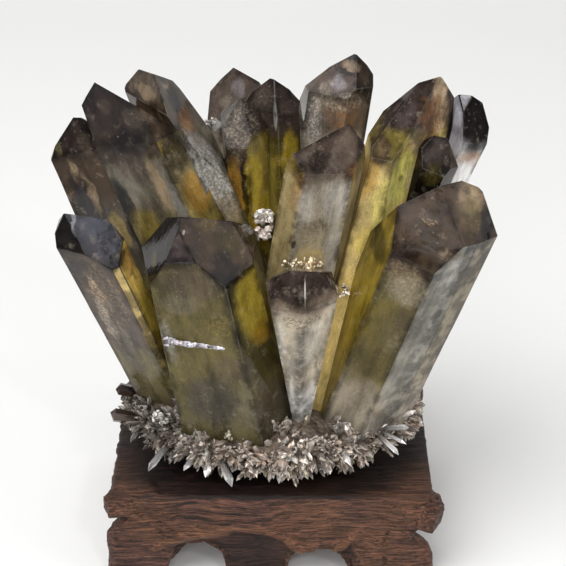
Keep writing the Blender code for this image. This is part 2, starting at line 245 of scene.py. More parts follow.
# Its carving, in millimetres: the lip is a line of (x, z) points along the front, the panel below it
# runs between two x, and the grooves are lines as well. The same carving turned about lies on the rear,
# moved a little. The apron is what lies this far out and faces to the front or the rear.
LIP_LINE = [
    (-46, 15), (-42, 20), (-35, 22.5), (-28, 24), (-14, 25.5), (-3, 24), (5, 20.5), (10, 17.5),
    (16, 15.5), (22, 16), (28, 19), (34, 21.5), (40, 20), (44, 16),
]
LIP_WIDTH = 2.2
LIP_SLOPE = 1.6
LIP_HEIGHT = 0.9
PANEL = (-40, 34)
PANEL_EDGE = 3
CARVE_DEPTH = 1.8
REAR_SHIFT = 4
GROOVES = [
    [(-54, 33), (-47, 31), (-41, 26), (-38, 24)], [(-50, 35), (-43, 33), (-36, 31)],
    [(-47, 28), (-44, 24), (-42, 21)], [(44, 38), (49, 35), (54, 36)], [(42, 30), (48, 27), (53, 28)],
    [(46, 24), (44, 18), (45, 8)], [(-22, 14), (-20, 6)], [(33, 14), (35, 6)],
]
GROOVE_WIDTH = 0.9
GROOVE_DEPTH = 0.45
# The painted shade in the sunk panel and grooves: how far their colour goes towards the darkest wood.
RECESS_SHADE_DARKNESS = 0.8
APRON_FACE = 38
APRON_FACING = 0.7

# Waves of noise over the wood: how each is stretched along x, y and z, how often it comes, how high it
# is. The knobs at the ends, outside one x and above one height, take the last as well. The carving is
# full between two heights, and faint on the underside and the top, which have to stay flat.
GRAIN_WAVE = ((0.03, 0.5, 0.9), 1.3, 0.25)
KNOCK_WAVE = ((1, 1, 1), 0.12, 0.4)
KNOB_WAVE = ((0.25, 0.6, 0.6), 0.8, 0.8)
KNOB_START = 52
KNOB_FLOOR = 18
WORKED_HEIGHTS = (1.5, 39.2)
FLAT_SHARE = 0.2

# Each end, left and right: the height of the nick's top under the stump, its reach down and its depth,
# then how far the legs stand out below it. The nick is deepest over its upper stretch, and the legs
# begin a little below its top. Between its legs each end is hollowed, below one height. A fade, here
# and in the arches, is the distance over which a shape comes in.
END_LEFT = (31.5, 8.0, 3.5, 2.0)
END_RIGHT = (23.6, 7.5, 3.5, 1.8)
END_START = 48
END_FADE = 12
NICK_TOP_FADE = 1.2
NICK_STRETCH = 3
LEG_TOP = 3
LEG_TOP_FADE = 10
LEG_SIDE_FADE = 5
HOLLOW_DEPTH = 7.0
HOLLOW_TOP = 31
HOLLOW_TOP_FADE = 4
HOLLOW_HALF = 41
HOLLOW_SIDE_FADE = 8

# Each arch in the apron: its middle, its half width and the height of its roof. The roof comes down by
# the drop, from a little inside the apron's face outwards and above the feet.
ARCH_LEFT = (-29, 11, 20)
ARCH_RIGHT = (18, 11, 17)
ARCH_FADE = 9
ARCH_SIDE_FADE = 3
ARCH_DROP = 2.6
ARCH_FOOT = 5
ARCH_FOOT_FADE = 7
ARCH_INSIDE = 8
ARCH_INSIDE_FADE = 4

# The floor: how far it runs each way, the backdrop's bend and height, and how finely it bends.
FLOOR_HALF = 2.0
FLOOR_FRONT = -1.2
BEND_START = 0.6
BEND_RADIUS = 0.6
BEND_STEPS = 12
BACKDROP_TOP = 1.5
FLOOR_COLOUR = (0.88, 0.88, 0.87)

# The lights: name, place, size and power. All look at the middle of the cluster.
LIGHTS = [
    ("key_light", (-0.55, -0.55, 1.35), 1.0, 17),
    ("side_light", (1.3, -0.5, 0.7), 0.7, 4.5),
    ("small_light", (0.35, -0.9, 0.9), 0.1, 1.5),
    ("front_light", (-0.15, -1.25, 0.85), 0.45, 4),
]
LIGHTS_AIM = Vector((0, 0, 0.1))
ROOM_LIGHT = 0.40

# Colours of the quartz and the crust, as linear red, green and blue, from dark to pale.
COAL = (0.012, 0.009, 0.008)
SMOKE = (0.038, 0.028, 0.025)
BARK = (0.062, 0.043, 0.036)
PLUM = (0.140, 0.105, 0.105)
MAUVE = (0.120, 0.090, 0.092)
# A painted reflection: the bluish sheen of a bright room on the dark caps.
PAINTED_SLATE_SHEEN = (0.080, 0.082, 0.105)
MOSS = (0.070, 0.055, 0.012)
UMBER = (0.110, 0.072, 0.045)
COCOA = (0.165, 0.105, 0.062)
ASH = (0.130, 0.112, 0.088)
TAUPE = (0.200, 0.150, 0.110)
RUST = (0.360, 0.160, 0.055)
SAGE = (0.215, 0.175, 0.065)
OLIVE = (0.300, 0.235, 0.050)
KHAKI = (0.340, 0.280, 0.130)
HONEY = (0.480, 0.260, 0.020)
GOLD = (0.560, 0.390, 0.035)
FLAME = (0.760, 0.400, 0.060)
SAFFRON = (0.800, 0.600, 0.080)
AMBER = (0.780, 0.560, 0.160)
STRAW = (0.900, 0.680, 0.270)
SUN = (0.980, 0.660, 0.160)
ZEST = (1.000, 0.930, 0.220)
SAND = (0.700, 0.510, 0.310)
STONE = (0.420, 0.370, 0.280)
BEIGE = (0.620, 0.530, 0.400)
PEARL = (0.640, 0.620, 0.560)
LILAC = (0.700, 0.680, 0.740)
MILK = (0.880, 0.850, 0.800)
WHITE = (0.960, 0.950, 0.930)


def crystal(name, foot, apex, taper, faces):
    """One point, in millimetres and degrees: the two ends of its long axis, and its faces.

    taper leans every side face inwards on the way up. Each row of faces is one side face and the end
    face above it: turn about the axis from the right, the side's distance from the axis, the end
    face's slope to the axis, and how far it drops below the apex.
    """
    return {
        "name": name,
        "foot": Vector(foot) * MM,
        "apex": Vector(apex) * MM,
        "taper": math.radians(taper),
        "faces": [
            (math.radians(turn), side * MM, math.radians(slope), drop * MM)
            for turn, side, slope, drop in faces
        ],
    }


CRYSTALS = [
    crystal("left_blade", (-41, 1, 55), (-69, -49, 171), -0.5, [
        (-18, 13, 40, 6), (46, 7, 39, 6), (79, 11, 22, 6),
        (172, 11, 36, 1), (246, 8, 38, 10), (293, 14, 49, 14),
    ]),
    crystal("front_broad", (-12, -14, 55), (-30, -41, 174), 2, [
        (-1, 19, 27, -3), (76, 20, 46, 17), (132, 23, 37, 5), (192, 21, 35, 6),
        (259, 15, 29, -1), (317, 18, 37, 12), (10, 40, 23, -10),
    ]),
    crystal("front_short", (12, -20, 55), (11, -60, 156), -6, [
        (9, 10, 36, 2), (84, 11, 42, 10), (130, 11, 38, 6),
        (189, 11, 40, 3), (257, 10, 41, 6), (296, 9, 39, 6),
    ]),
    crystal("front_right", (29, -11, 55), (64, -38, 178), -0.5, [
        (-52, 18, 54, 8), (40, 16, 49, -2), (124, 18, 26, 7), (190, 14, 40, 4),
        (247, 15, 31, 9), (301, 17, 53, 10), (90, 40, 30, -1),
    ]),
    crystal("centre", (6, -1, 55), (26, -20, 196), 0.5, [
        (37, 12, 26, 1), (131, 15, 24, 12), (166, 15, 40, 4),
        (234, 17, 43, 1), (285, 10, 39, 13), (337, 10, 40, 5),
    ]),
    crystal("upper_left", (-6, 0, 55), (-63, -8, 207), 2, [
        (-5, 21, 38, 8), (32, 17, 31, 14), (113, 17, 39, 5),
        (174, 15, 48, 5), (243, 6, 13, 10), (289, 15, 21, -4),
    ]),
    crystal("far_left", (-32, 5, 55), (-77, 8, 186), 0, [
        (10, 13, 38, 6), (60, 13, 35, 10), (133, 13, 33, 10),
        (190, 14, 40, 4), (254, 9, 36, 8), (310, 13, 39, 5),
    ]),
    crystal("back_left", (3, 22, 55), (-48, -2, 209), 1.8, [
        (10, 13, 36, 4), (43, 12, 41, 11), (80, 12, 60, -10), (120, 20, 45, -2),
        (182, 15, 40, 5), (215, 6, 43, 17), (298, 22, 46, -3), (0, 40, 20, 11),
    ]),
    crystal("middle_left", (-6, 8, 55), (-13, 6, 191), 0, [
        (19, 10, 38, 3), (83, 10, 37, 5), (139, 10, 39, 2),
        (187, 6, 40, 7), (257, 11, 37, 6), (319, 10, 38, 4),
    ]),
    crystal("middle_right", (4, 9, 55), (0, 14, 200), 1, [
        (-5, 11, 35, 3), (53, 13, 33, 11), (120, 13, 34, 10),
        (177, 11, 39, 5), (237, 9, 36, 7), (290, 12, 40, 6),
    ]),
    crystal("back_middle", (-14, 18, 55), (-11, 32, 198), 0.5, [
        (-7, 12, 39, 5), (41, 12, 33, 12), (118, 10, 29, 3),
        (173, 13, 39, 5), (235, 12, 27, 12), (293, 12, 40, 4),
    ]),
    crystal("back_tall", (9, 16, 55), (30, 29, 204), 0, [
        (9, 11, 40, 3), (67, 14, 33, 8), (132, 14, 35, 12),
        (190, 14, 40, 7), (253, 12, 40, 9), (314, 11, 35, 4),
    ]),
    crystal("right_tall", (31, 3, 55), (56, 4, 206), 3.5, [
        (33, 21, 43, 0), (113, 17, 24, 9), (150, 12, 38, 10),
        (185, 15, 36, 16), (263, 18, 40, 18), (317, 8, 11, -5),
    ]),
    crystal("right_slim", (29, 4, 60), (66, -2, 177), -1, [
        (20, 7, 35, 3), (89, 7, 36, 3), (141, 7, 39, 0),
        (201, 7, 39, 1), (257, 7, 37, 6), (321, 7, 37, 3),
    ]),
    crystal("far_right", (32, 13, 55), (80, 18, 190), -2, [
        (14, 8, 32, 4), (97, 11, 38, 10), (136, 11, 39, 5),
        (204, 5, 40, 3), (248, 12, 49, 7), (306, 10, 35, 8),
    ]),
    crystal("rear_left", (-30, 17, 55), (-47, 50, 126), 0, [
        (0, 10, 38, 4), (62, 11, 36, 6), (118, 10, 40, 2),
        (182, 10, 38, 5), (240, 11, 37, 7), (299, 10, 39, 3),
    ]),
    crystal("rear_middle", (-6, 21, 55), (-8, 58, 136), 1, [
        (8, 12, 38, 3), (60, 12, 37, 6), (122, 13, 39, 2),
        (180, 12, 36, 5), (239, 11, 38, 7), (302, 12, 40, 4),
    ]),
    crystal("rear_right", (18, 20, 55), (24, 53, 118), 0, [
        (-6, 9, 39, 4), (58, 10, 37, 2), (120, 9, 40, 6),
        (176, 10, 38, 3), (242, 9, 36, 7), (298, 10, 39, 4),
    ]),
    crystal("rear_corner", (37, 13, 55), (58, 42, 124), 0.5, [
        (4, 10, 37, 3), (64, 9, 40, 5), (124, 10, 38, 2),
        (184, 10, 36, 6), (244, 9, 39, 4), (304, 10, 38, 7),
    ]),
]


def look(
    zones, depths, faces=None, marks=(), clear=0.5, rough=0.08, smoke=KHAKI, dense=20, edge=0.12, grain=1.0,
    ease=0.35,
):
    """How one point is coloured.

    zones are its colours from the tip down, and depths say how many millimetres below the tip each of
    the last three starts. faces tints single faces: the row's number and s for the side or e for the
    end face, then a colour and how much of it. marks are blots inside it, in its own axes in
    millimetres: middle, reach along each axis, colour, amount, and how far the blot breaks up into
    specks, where 0 also keeps its outline clean. clear is how much light goes through, and smoke and
    dense colour what it crosses. edge is how strong the painted highlight along the eased edges is,
    grain is how strong the fine mottling is, and ease is how wide its edges are rounded, in millimetres.
    """
    return {
        "zones": zones,
        "depths": depths,
        "faces": faces or {},
        "marks": marks,
        "clear": clear,
        "rough": rough,
        "smoke": smoke,
        "dense": dense,
        "edge": edge,
        "grain": grain,
        "ease": ease,
    }


LOOKS = {
    "left_blade": look(
        (SMOKE, UMBER, TAUPE, KHAKI), (20, 44, 86),
        {
            "5e": (PAINTED_SLATE_SHEEN, 0.85), "4e": (COAL, 0.85), "5s": (STRAW, 0.95), "0s": (SUN, 1.0),
            "3s": (UMBER, 0.4), "4s": (BARK, 0.4),
        },
        [
            # The first mark below, a thin lilac streak on the cap, is a painted glint.
            ((-3, 0, 118), (1, 8, 5), LILAC, 0.8, 0.3), ((5, -8, 108), (5, 8, 4), COAL, 0.6, 0.5),
            ((9, -10, 104), (6, 8, 3), COAL, 0.9, 0.1), ((13, -6, 98), (3, 8, 7), RUST, 0.7, 0.2),
            ((-6, -6, 98), (7, 6, 7), SMOKE, 0.8, 0.1), ((-4, -7, 86), (2.5, 6, 9), SAND, 0.85, 0.8),
            ((-6, -6, 67), (2.5, 6, 15), BEIGE, 0.95, 0.7), ((1, -9, 72), (3, 5, 24), BARK, 0.6, 0.2),
            ((-2, -8, 56), (2, 6, 12), STONE, 0.7, 0.5), ((7, -12, 38), (9, 9, 16), SAGE, 0.9, 0.1),
            ((12, -6, 66), (3, 8, 20), SAFFRON, 0.7, 0.1), ((12, -10, 92), (0.6, 8, 12), BARK, 0.5, 0.3),
            ((0, -10, 84), (8, 8, 26), SAND, 0.3, 0.9), ((9, -11, 58), (3, 8, 8), GOLD, 0.6, 0.2),
        ],
        clear=0.42, smoke=GOLD, dense=8, grain=0.8,
    ),
    "front_broad": look(
        (BARK, UMBER, SAGE, ASH), (27, 38, 96),
        {
            "4e": (PLUM, 0.9), "5e": (COCOA, 0.75), "3e": (COAL, 0.9), "4s": (SAGE, 0.7),
            "5s": (MOSS, 0.5), "3s": (OLIVE, 0.45),
        },
        [
            ((4, -8, 101), (7, 8, 7), COAL, 0.4, 0.2), ((11, -5, 97), (7, 8, 7), MOSS, 0.8, 0.3),
            ((-4, -16, 88), (12, 8, 9), TAUPE, 0.7, 0.2),
            ((9, -14, 93), (5, 9, 9), COAL, 0.85, 0.1), ((2, -3, 114), (4, 8, 3), TAUPE, 0.6, 0.2),
            ((9, -3, 106), (8, 8, 4), OLIVE, 0.5, 0.8), ((17, -11, 71), (8, 9, 18), SAFFRON, 1.0, 0.05),
            ((17, -10, 57), (5, 8, 6), HONEY, 0.8, 0.2), ((13, -12, 88), (8, 8, 3), COAL, 0.8, 0.4),
            ((15, -12, 44), (8, 8, 9), MOSS, 0.9, 0.1), ((14, -14, 26), (8, 8, 10), UMBER, 0.7, 0.3),
            ((-6, -16, 30), (12, 8, 14), ASH, 0.8, 0.1), ((8, -17, 28), (5, 8, 12), STONE, 0.35, 0.4),
            ((-4, -18, 3), (10, 8, 4), COAL, 0.9, 0.1), ((3, -16, 68), (6, 8, 6), AMBER, 0.3, 0.95),
            ((-10, -15, 78), (8, 8, 5), STONE, 0.4, 0.3), ((4, -18, 46), (9, 8, 8), TAUPE, 0.5, 0.2),
            # The first mark below, a thin milky line on the cap, is a painted glint.
            ((-3, -8, 107), (0.5, 6, 0.6), MILK, 0.9, 0), ((-12, -3, 92), (6, 8, 3), GOLD, 0.5, 0.8),
            ((-14, -8, 96), (7, 8, 2), COAL, 0.6, 0.2), ((-17, -8, 60), (3, 8, 14), MILK, 0.5, 0.6),
        ],
        grain=0.75,
    ),
    "front_short": look(
        (BARK, TAUPE, BEIGE, MILK), (17, 23, 74),
        None,
        [
            ((-4, -8, 93), (4, 8, 5), COAL, 0.7, 0.4), ((5, -6, 96), (4, 8, 5), COAL, 0.6, 0.5),
            ((0, -9, 82), (10, 8, 4), UMBER, 0.7, 0.9), ((-2, -7, 52), (4, 8, 7), PEARL, 0.6, 0.4),
            ((-8, -5, 66), (2, 8, 20), MILK, 0.6, 0.5), ((2, -8, 64), (6, 8, 14), PEARL, 0.6, 0.6),
            ((4, -6, 76), (5, 8, 6), PEARL, 0.6, 0.8), ((0, -6, 14), (12, 8, 16), MILK, 0.9, 0.3),
            ((1, -8, 95), (0.3, 8, 5), PEARL, 0.9, 0), ((5, -8, 40), (1, 8, 20), ASH, 0.6, 0.3),
            ((-4, -8, 34), (1, 8, 14), MILK, 0.8, 0.3),
        ],
        clear=0.2, rough=0.15, smoke=BEIGE, dense=6, ease=3.0, grain=0.6, edge=0.0,
    ),
    "front_right": look(
        (UMBER, UMBER, SAGE, STONE), (30, 41, 98),
        {
            "5e": (COCOA, 0.6), "5s": (PEARL, 0.7), "0s": (BEIGE, 0.65), "3s": (GOLD, 0.65),
            "3e": (MOSS, 0.7), "4e": (UMBER, 0.5),
        },
        [
            ((11, 3, 118), (6, 9, 6), SAND, 0.9, 0.3), ((12, 0, 111), (6, 9, 8), OLIVE, 0.5, 0.4),
            ((19, 0, 108), (3, 9, 12), COAL, 0.9, 0.1), ((-2, -7, 110), (3, 8, 1.3), SAND, 0.9, 0.85),
            ((2, -12, 103), (6, 8, 4), ASH, 0.5, 0.2), ((-6, -12, 100), (4, 8, 3), COAL, 0.8, 0.3),
            ((3, -17, 94), (8, 8, 2.5), COAL, 0.5, 0.6), ((-5, -10, 112), (8, 8, 2), TAUPE, 0.6, 0.6),
            ((-6, -14, 90), (7, 8, 6), SAND, 0.6, 0.7), ((-2, -16, 84), (10, 8, 8), BEIGE, 0.7, 0.5),
            ((-2, -16, 68), (8, 8, 8), UMBER, 0.35, 0.4),
            ((-6, -15, 66), (5, 8, 14), OLIVE, 0.6, 0.3), ((1, -16, 64), (9, 8, 12), ASH, 0.5, 0.5),
            ((-3, -15, 46), (10, 8, 9), MOSS, 0.4, 0.3), ((-2, -15, 20), (12, 8, 16), BEIGE, 0.95, 0.3),
            ((-13, -6, 60), (4, 12, 18), GOLD, 0.7, 0.1), ((-14, 2, 90), (5, 12, 7), MOSS, 0.9, 0.1),
            ((11, -13, 92), (5, 6, 10), MILK, 0.4, 0.4), ((8, -14, 103), (5, 8, 2), SAND, 0.5, 0.6),
            ((13, -13, 60), (3, 6, 30), PEARL, 0.4, 0.2), ((13, -12, 20), (6, 6, 16), TAUPE, 0.5, 0.3),
        ],
        ease=1.2, grain=0.55,
    ),
    "centre": look(
        (UMBER, TAUPE, BEIGE, KHAKI), (18, 28, 78),
        {"5s": (OLIVE, 0.5), "3s": (GOLD, 0.5), "0s": (KHAKI, 0.5), "4e": (MAUVE, 0.4)},
        [
            ((-6, -9, 122), (5, 8, 4), COAL, 0.9, 0.2), ((-12, -12, 118), (3, 8, 5), SMOKE, 0.7, 0.3),
            ((-12, -12, 110), (3, 8, 9), RUST, 0.4, 0.2), ((7, -8, 119), (2, 8, 3), RUST, 0.7, 0.2),
            ((-3, -12, 90), (7, 8, 11), KHAKI, 0.8, 0.5), ((3, -10, 107), (6, 8, 9), PEARL, 0.7, 0.3),
            ((-8, -12, 104), (4, 8, 9), PEARL, 0.6, 0.5), ((-3, -11, 80), (9, 8, 7), AMBER, 0.7, 0.8),
            ((-10, -13, 88), (1, 8, 2), COAL, 0.8, 0), ((4, -9, 86), (3, 8, 14), PEARL, 0.6, 0.3),
            ((4, -2, 128), (4, 8, 5), TAUPE, 0.6, 0.2), ((-4, -12, 96), (8, 8, 3), TAUPE, 0.5, 0.7),
            ((-2, -11, 66), (12, 8, 9), AMBER, 0.6, 0.4),
        ],
        clear=0.4, smoke=BEIGE, dense=8, grain=0.8,
    ),
    "upper_left": look(
        (BARK, UMBER, STONE, KHAKI), (30, 42, 62),
        {"4e": (COAL, 0.35), "5e": (UMBER, 0.5), "5s": (GOLD, 0.45), "0s": (HONEY, 0.5), "4s": (ASH, 0.3)},
        [
            ((0, -6, 129), (15, 9, 4), COAL, 0.7, 0.1), ((-13, 0, 104), (3, 9, 12), COAL, 0.9, 0.1),
            ((4, -9, 110), (3, 9, 13), SAND, 0.85, 0.2), ((8, -10, 98), (2, 9, 14), PEARL, 0.7, 0.2),
            ((-4, -5, 118), (7, 8, 7), TAUPE, 0.7, 0.4), ((15, -10, 122), (5, 8, 9), COAL, 0.9, 0.2),
            ((-8, -3, 92), (8, 8, 10), GOLD, 0.6, 0.3), ((16, -10, 104), (5, 8, 9), FLAME, 0.8, 0.3),
            ((-4, -1, 144), (3, 8, 3), TAUPE, 0.3, 0.4), ((6, -4, 138), (5, 8, 5), TAUPE, 0.6, 0.3),
            ((-2, -7, 84), (3, 8, 14), COAL, 0.6, 0.3), ((3, -9, 88), (4, 8, 12), KHAKI, 0.7, 0.3),
            ((12, -12, 90), (3, 8, 10), STRAW, 0.6, 0.3),
        ],
        edge=0.7, ease=0.8, grain=0.9,
    ),
    "far_left": look(
        (BARK, UMBER, ASH, OLIVE), (20, 40, 80),
        {"4e": (COAL, 0.3)},
        [
            ((-6, -8, 112), (2, 8, 6), SAND, 0.8, 0.5), ((-3, -9, 101), (2, 8, 9), SAND, 0.7, 0.4),
            ((-7, -7, 106), (4, 8, 5), COAL, 0.8, 0.2), ((-7, -8, 96), (4, 8, 9), PAINTED_SLATE_SHEEN, 0.6, 0.2),
            ((2, -9, 84), (3, 8, 9), AMBER, 0.6, 0.4), ((-9, -4, 122), (1.5, 8, 5), KHAKI, 0.7, 0.2),
            ((2, -6, 120), (3, 8, 5), TAUPE, 0.6, 0.4), ((4, -8, 100), (3, 8, 12), UMBER, 0.7, 0.3),
        ],
        edge=0.3, grain=0.9,
    ),
    "back_left": look(
        (TAUPE, UMBER, STONE, KHAKI), (20, 33, 60),
        {"4e": (STONE, 0.5), "7e": (UMBER, 0.3)},
        [
            ((5, 0, 139), (4, 9, 4), COAL, 0.95, 0.1), ((-3, 4, 144), (8, 9, 2), SAND, 0.5, 0.2),
            ((7, -5, 132), (6, 8, 5), RUST, 0.8, 0.4), ((11, -17, 114), (7, 12, 22), WHITE, 0.9, 0.85),
            ((8, -8, 126), (6, 8, 4), COAL, 0.6, 0.9), ((11, -16, 98), (6, 12, 8), SAND, 0.6, 0.6),
            ((-5, 2, 136), (4, 8, 3), COAL, 0.5, 0.7), ((6, -14, 112), (2, 8, 20), COAL, 0.6, 0.6),
        ],
        rough=0.14, smoke=TAUPE, edge=0.5,
    ),
    "middle_left": look(
        (UMBER, BARK, GOLD, OLIVE), (34, 42, 90),
        {"3e": (COAL, 0.35), "5e": (BARK, 0.6), "4e": (MAUVE, 0.4), "5s": (SAFFRON, 0.4)},
        [
            ((5, -11, 102), (4, 8, 12), SAFFRON, 0.9, 0.2), ((-3, -11, 96), (4, 8, 16), FLAME, 0.8, 0.3),
            ((1, -12, 96), (1, 8, 18), COAL, 0.8, 0.1), ((0, -5, 120), (9, 8, 14), STONE, 0.9, 0.9),
            ((5, -11, 84), (4, 8, 8), GOLD, 0.6, 0.3), ((-3, -11, 76), (4, 8, 8), HONEY, 0.6, 0.3),
        ],
        clear=0.4, smoke=GOLD, rough=0.25, dense=8, grain=0.8,
    ),
    "middle_right": look(
        (BARK, MOSS, OLIVE, MOSS), (28, 36, 92),
        None,
        [
            ((1, -12, 125), (0.8, 8, 6), PEARL, 0.8, 0), ((6, -9, 112), (3, 8, 8), GOLD, 0.7, 0.3),
            ((-5, -7, 108), (4, 8, 6), MOSS, 0.8, 0.2), ((3, -11, 101), (4, 8, 10), GOLD, 0.5, 0.4),
            ((-3, -6, 130), (5, 8, 8), TAUPE, 0.6, 0.6), ((4, -10, 88), (4, 8, 8), FLAME, 0.5, 0.3),
        ],
        smoke=GOLD, grain=0.8,
    ),
    "back_middle": look(
        (TAUPE, TAUPE, BEIGE, BEIGE), (26, 37, 90),
        {"4e": (MAUVE, 0.4), "5e": (MAUVE, 0.4)},
        [
            ((-1, -2, 126), (3, 8, 4), LILAC, 0.3, 0.4), ((-4, -4, 120), (5, 8, 3), BEIGE, 0.4, 0.4),
            ((-11, -7, 104), (4, 8, 8), BEIGE, 0.8, 0.1), ((-10, -3, 112), (3, 8, 2), MILK, 0.95, 0.1),
            ((-5, -6, 112), (5, 8, 4), MAUVE, 0.6, 0.5),
        ],
        dense=8, smoke=BEIGE,
    ),
    "back_tall": look(
        (UMBER, TAUPE, BEIGE, BEIGE), (23, 40, 90),
        {"4e": (MAUVE, 0.4), "5e": (SMOKE, 0.5), "5s": (TAUPE, 0.3)},
        [
            ((-2, -7, 132), (3, 8, 3), LILAC, 0.35, 0.4), ((2, -6, 138), (4, 8, 1.5), SAND, 0.6, 0.3),
            ((0, -7, 136), (5, 8, 1), COAL, 0.85, 0.2), ((5, -8, 129), (5, 8, 3), COAL, 0.9, 0.5),
            ((1, -12, 121), (8, 8, 6), RUST, 0.95, 0.8), ((-3, -12, 118), (2, 8, 7), BARK, 0.7, 0.5),
            ((5, -11, 108), (7, 8, 7), MILK, 0.8, 0.2), ((-10, -9, 114), (4, 8, 14), MILK, 0.8, 0.8),
            ((2, -3, 142), (3, 8, 4), PAINTED_SLATE_SHEEN, 0.6, 0.2), ((-7, -9, 126), (3, 8, 6), BEIGE, 0.7, 0.6),
            ((0, -12, 126), (10, 8, 4), BEIGE, 0.6, 0.9), ((-2, -12, 104), (6, 8, 8), SAND, 0.7, 0.3),
        ],
        clear=0.4, dense=5, smoke=BEIGE,
    ),
    "right_tall": look(
        (BARK, OLIVE, STRAW, AMBER), (30, 38, 86),
        {
            "4e": (SMOKE, 0.3), "0s": (COAL, 0.9), "3e": (SMOKE, 0.6), "5e": (TAUPE, 0.5),
            "3s": (AMBER, 0.6), "5s": (STRAW, 0.4), "4s": (STRAW, 0.5),
        },
        [
            ((10, 4, 138), (4, 9, 8), SAND, 0.95, 0.2), ((8, 1, 127), (7, 9, 9), RUST, 0.95, 0.3),
            ((3, -3, 119), (5, 9, 6), SAND, 0.8, 0.3), ((-1, -6, 112), (5, 9, 6), UMBER, 0.6, 0.6),
            ((12, 5, 126), (3, 8, 9), SAND, 0.7, 0.5), ((-10, -14, 116), (4, 9, 6), UMBER, 0.9, 0.1),
            ((1, -12, 106), (9, 9, 11), ZEST, 0.95, 0.3), ((18, 8, 118), (2, 9, 18), COAL, 0.95, 0),
            ((-3, -17, 96), (7, 9, 14), ZEST, 0.6, 0.3), ((-8, -18, 80), (6, 9, 8), SAFFRON, 0.6, 0.3),
            ((-13, -16, 106), (4, 9, 8), FLAME, 0.6, 0.2), ((-3, -5, 130), (5, 8, 6), MAUVE, 0.5, 0.4),
            ((0, -14, 106), (1.5, 8, 2), MOSS, 0.8, 0.5), ((-6, -16, 88), (1, 8, 0.6), MILK, 0.9, 0),
            ((5, -10, 104), (4, 8, 6), SAND, 0.7, 0.4), ((-4, -17, 64), (8, 9, 10), GOLD, 0.7, 0.3),
        ],
        clear=0.22, smoke=GOLD, dense=4, grain=0.9, edge=0.08,
    ),
    "right_slim": look(
        (UMBER, COAL, COAL, UMBER), (15, 22, 70),
        {"4e": (PAINTED_SLATE_SHEEN, 0.4), "5e": (TAUPE, 0.4), "5s": (UMBER, 0.5)},
        [((-1, -7, 106), (4, 8, 5), OLIVE, 0.5, 0.4), ((3, -6, 96), (5, 8, 9), COAL, 0.8, 0.1)],
        rough=0.05, dense=40,
    ),
    "far_right": look(
        (COAL, COAL, WHITE, WHITE), (22, 26, 90),
        {"3s": (LILAC, 0.85), "4e": (LILAC, 0.7), "4s": (LILAC, 0.7), "3e": (LILAC, 0.7)},
        [
            ((3, -7, 122), (7, 8, 9), COAL, 0.8, 0.1), ((6, -9, 113), (8, 8, 4), RUST, 0.8, 0.3),
            ((5, -8, 104), (9, 8, 9), WHITE, 1.0, 0.1), ((5, -9, 96), (1, 8, 10), TAUPE, 0.4, 0.3),
        ],
        clear=0.15, dense=2, smoke=MILK, grain=0.5,
    ),
    "rear_left": look(
        (BARK, TAUPE, OLIVE, BEIGE), (18, 30, 60), {"1e": (MAUVE, 0.5), "2s": (GOLD, 0.4)},
        [((2, 8, 60), (5, 8, 9), SAFFRON, 0.7, 0.4), ((-4, 8, 74), (4, 8, 5), COAL, 0.7, 0.3)],
    ),
    "rear_middle": look(
        (BARK, TAUPE, GOLD, BEIGE), (22, 34, 64), {"1e": (SMOKE, 0.6), "2s": (OLIVE, 0.5)},
        [((3, 9, 62), (5, 8, 10), FLAME, 0.6, 0.4), ((-5, 9, 80), (5, 8, 5), COAL, 0.7, 0.3)],
    ),
    "rear_right": look(
        (MAUVE, TAUPE, BEIGE, BEIGE), (16, 26, 50), {"2e": (STONE, 0.5)},
        [((0, 8, 50), (4, 8, 8), MILK, 0.6, 0.6)], dense=10,
    ),
    "rear_corner": look(
        (BARK, UMBER, HONEY, KHAKI), (18, 30, 60), {"1s": (GOLD, 0.4)},
        [((2, 8, 56), (4, 8, 9), SAFFRON, 0.7, 0.3)],
    ),
}


# ---------------------------------------------------------------- shader node helpers


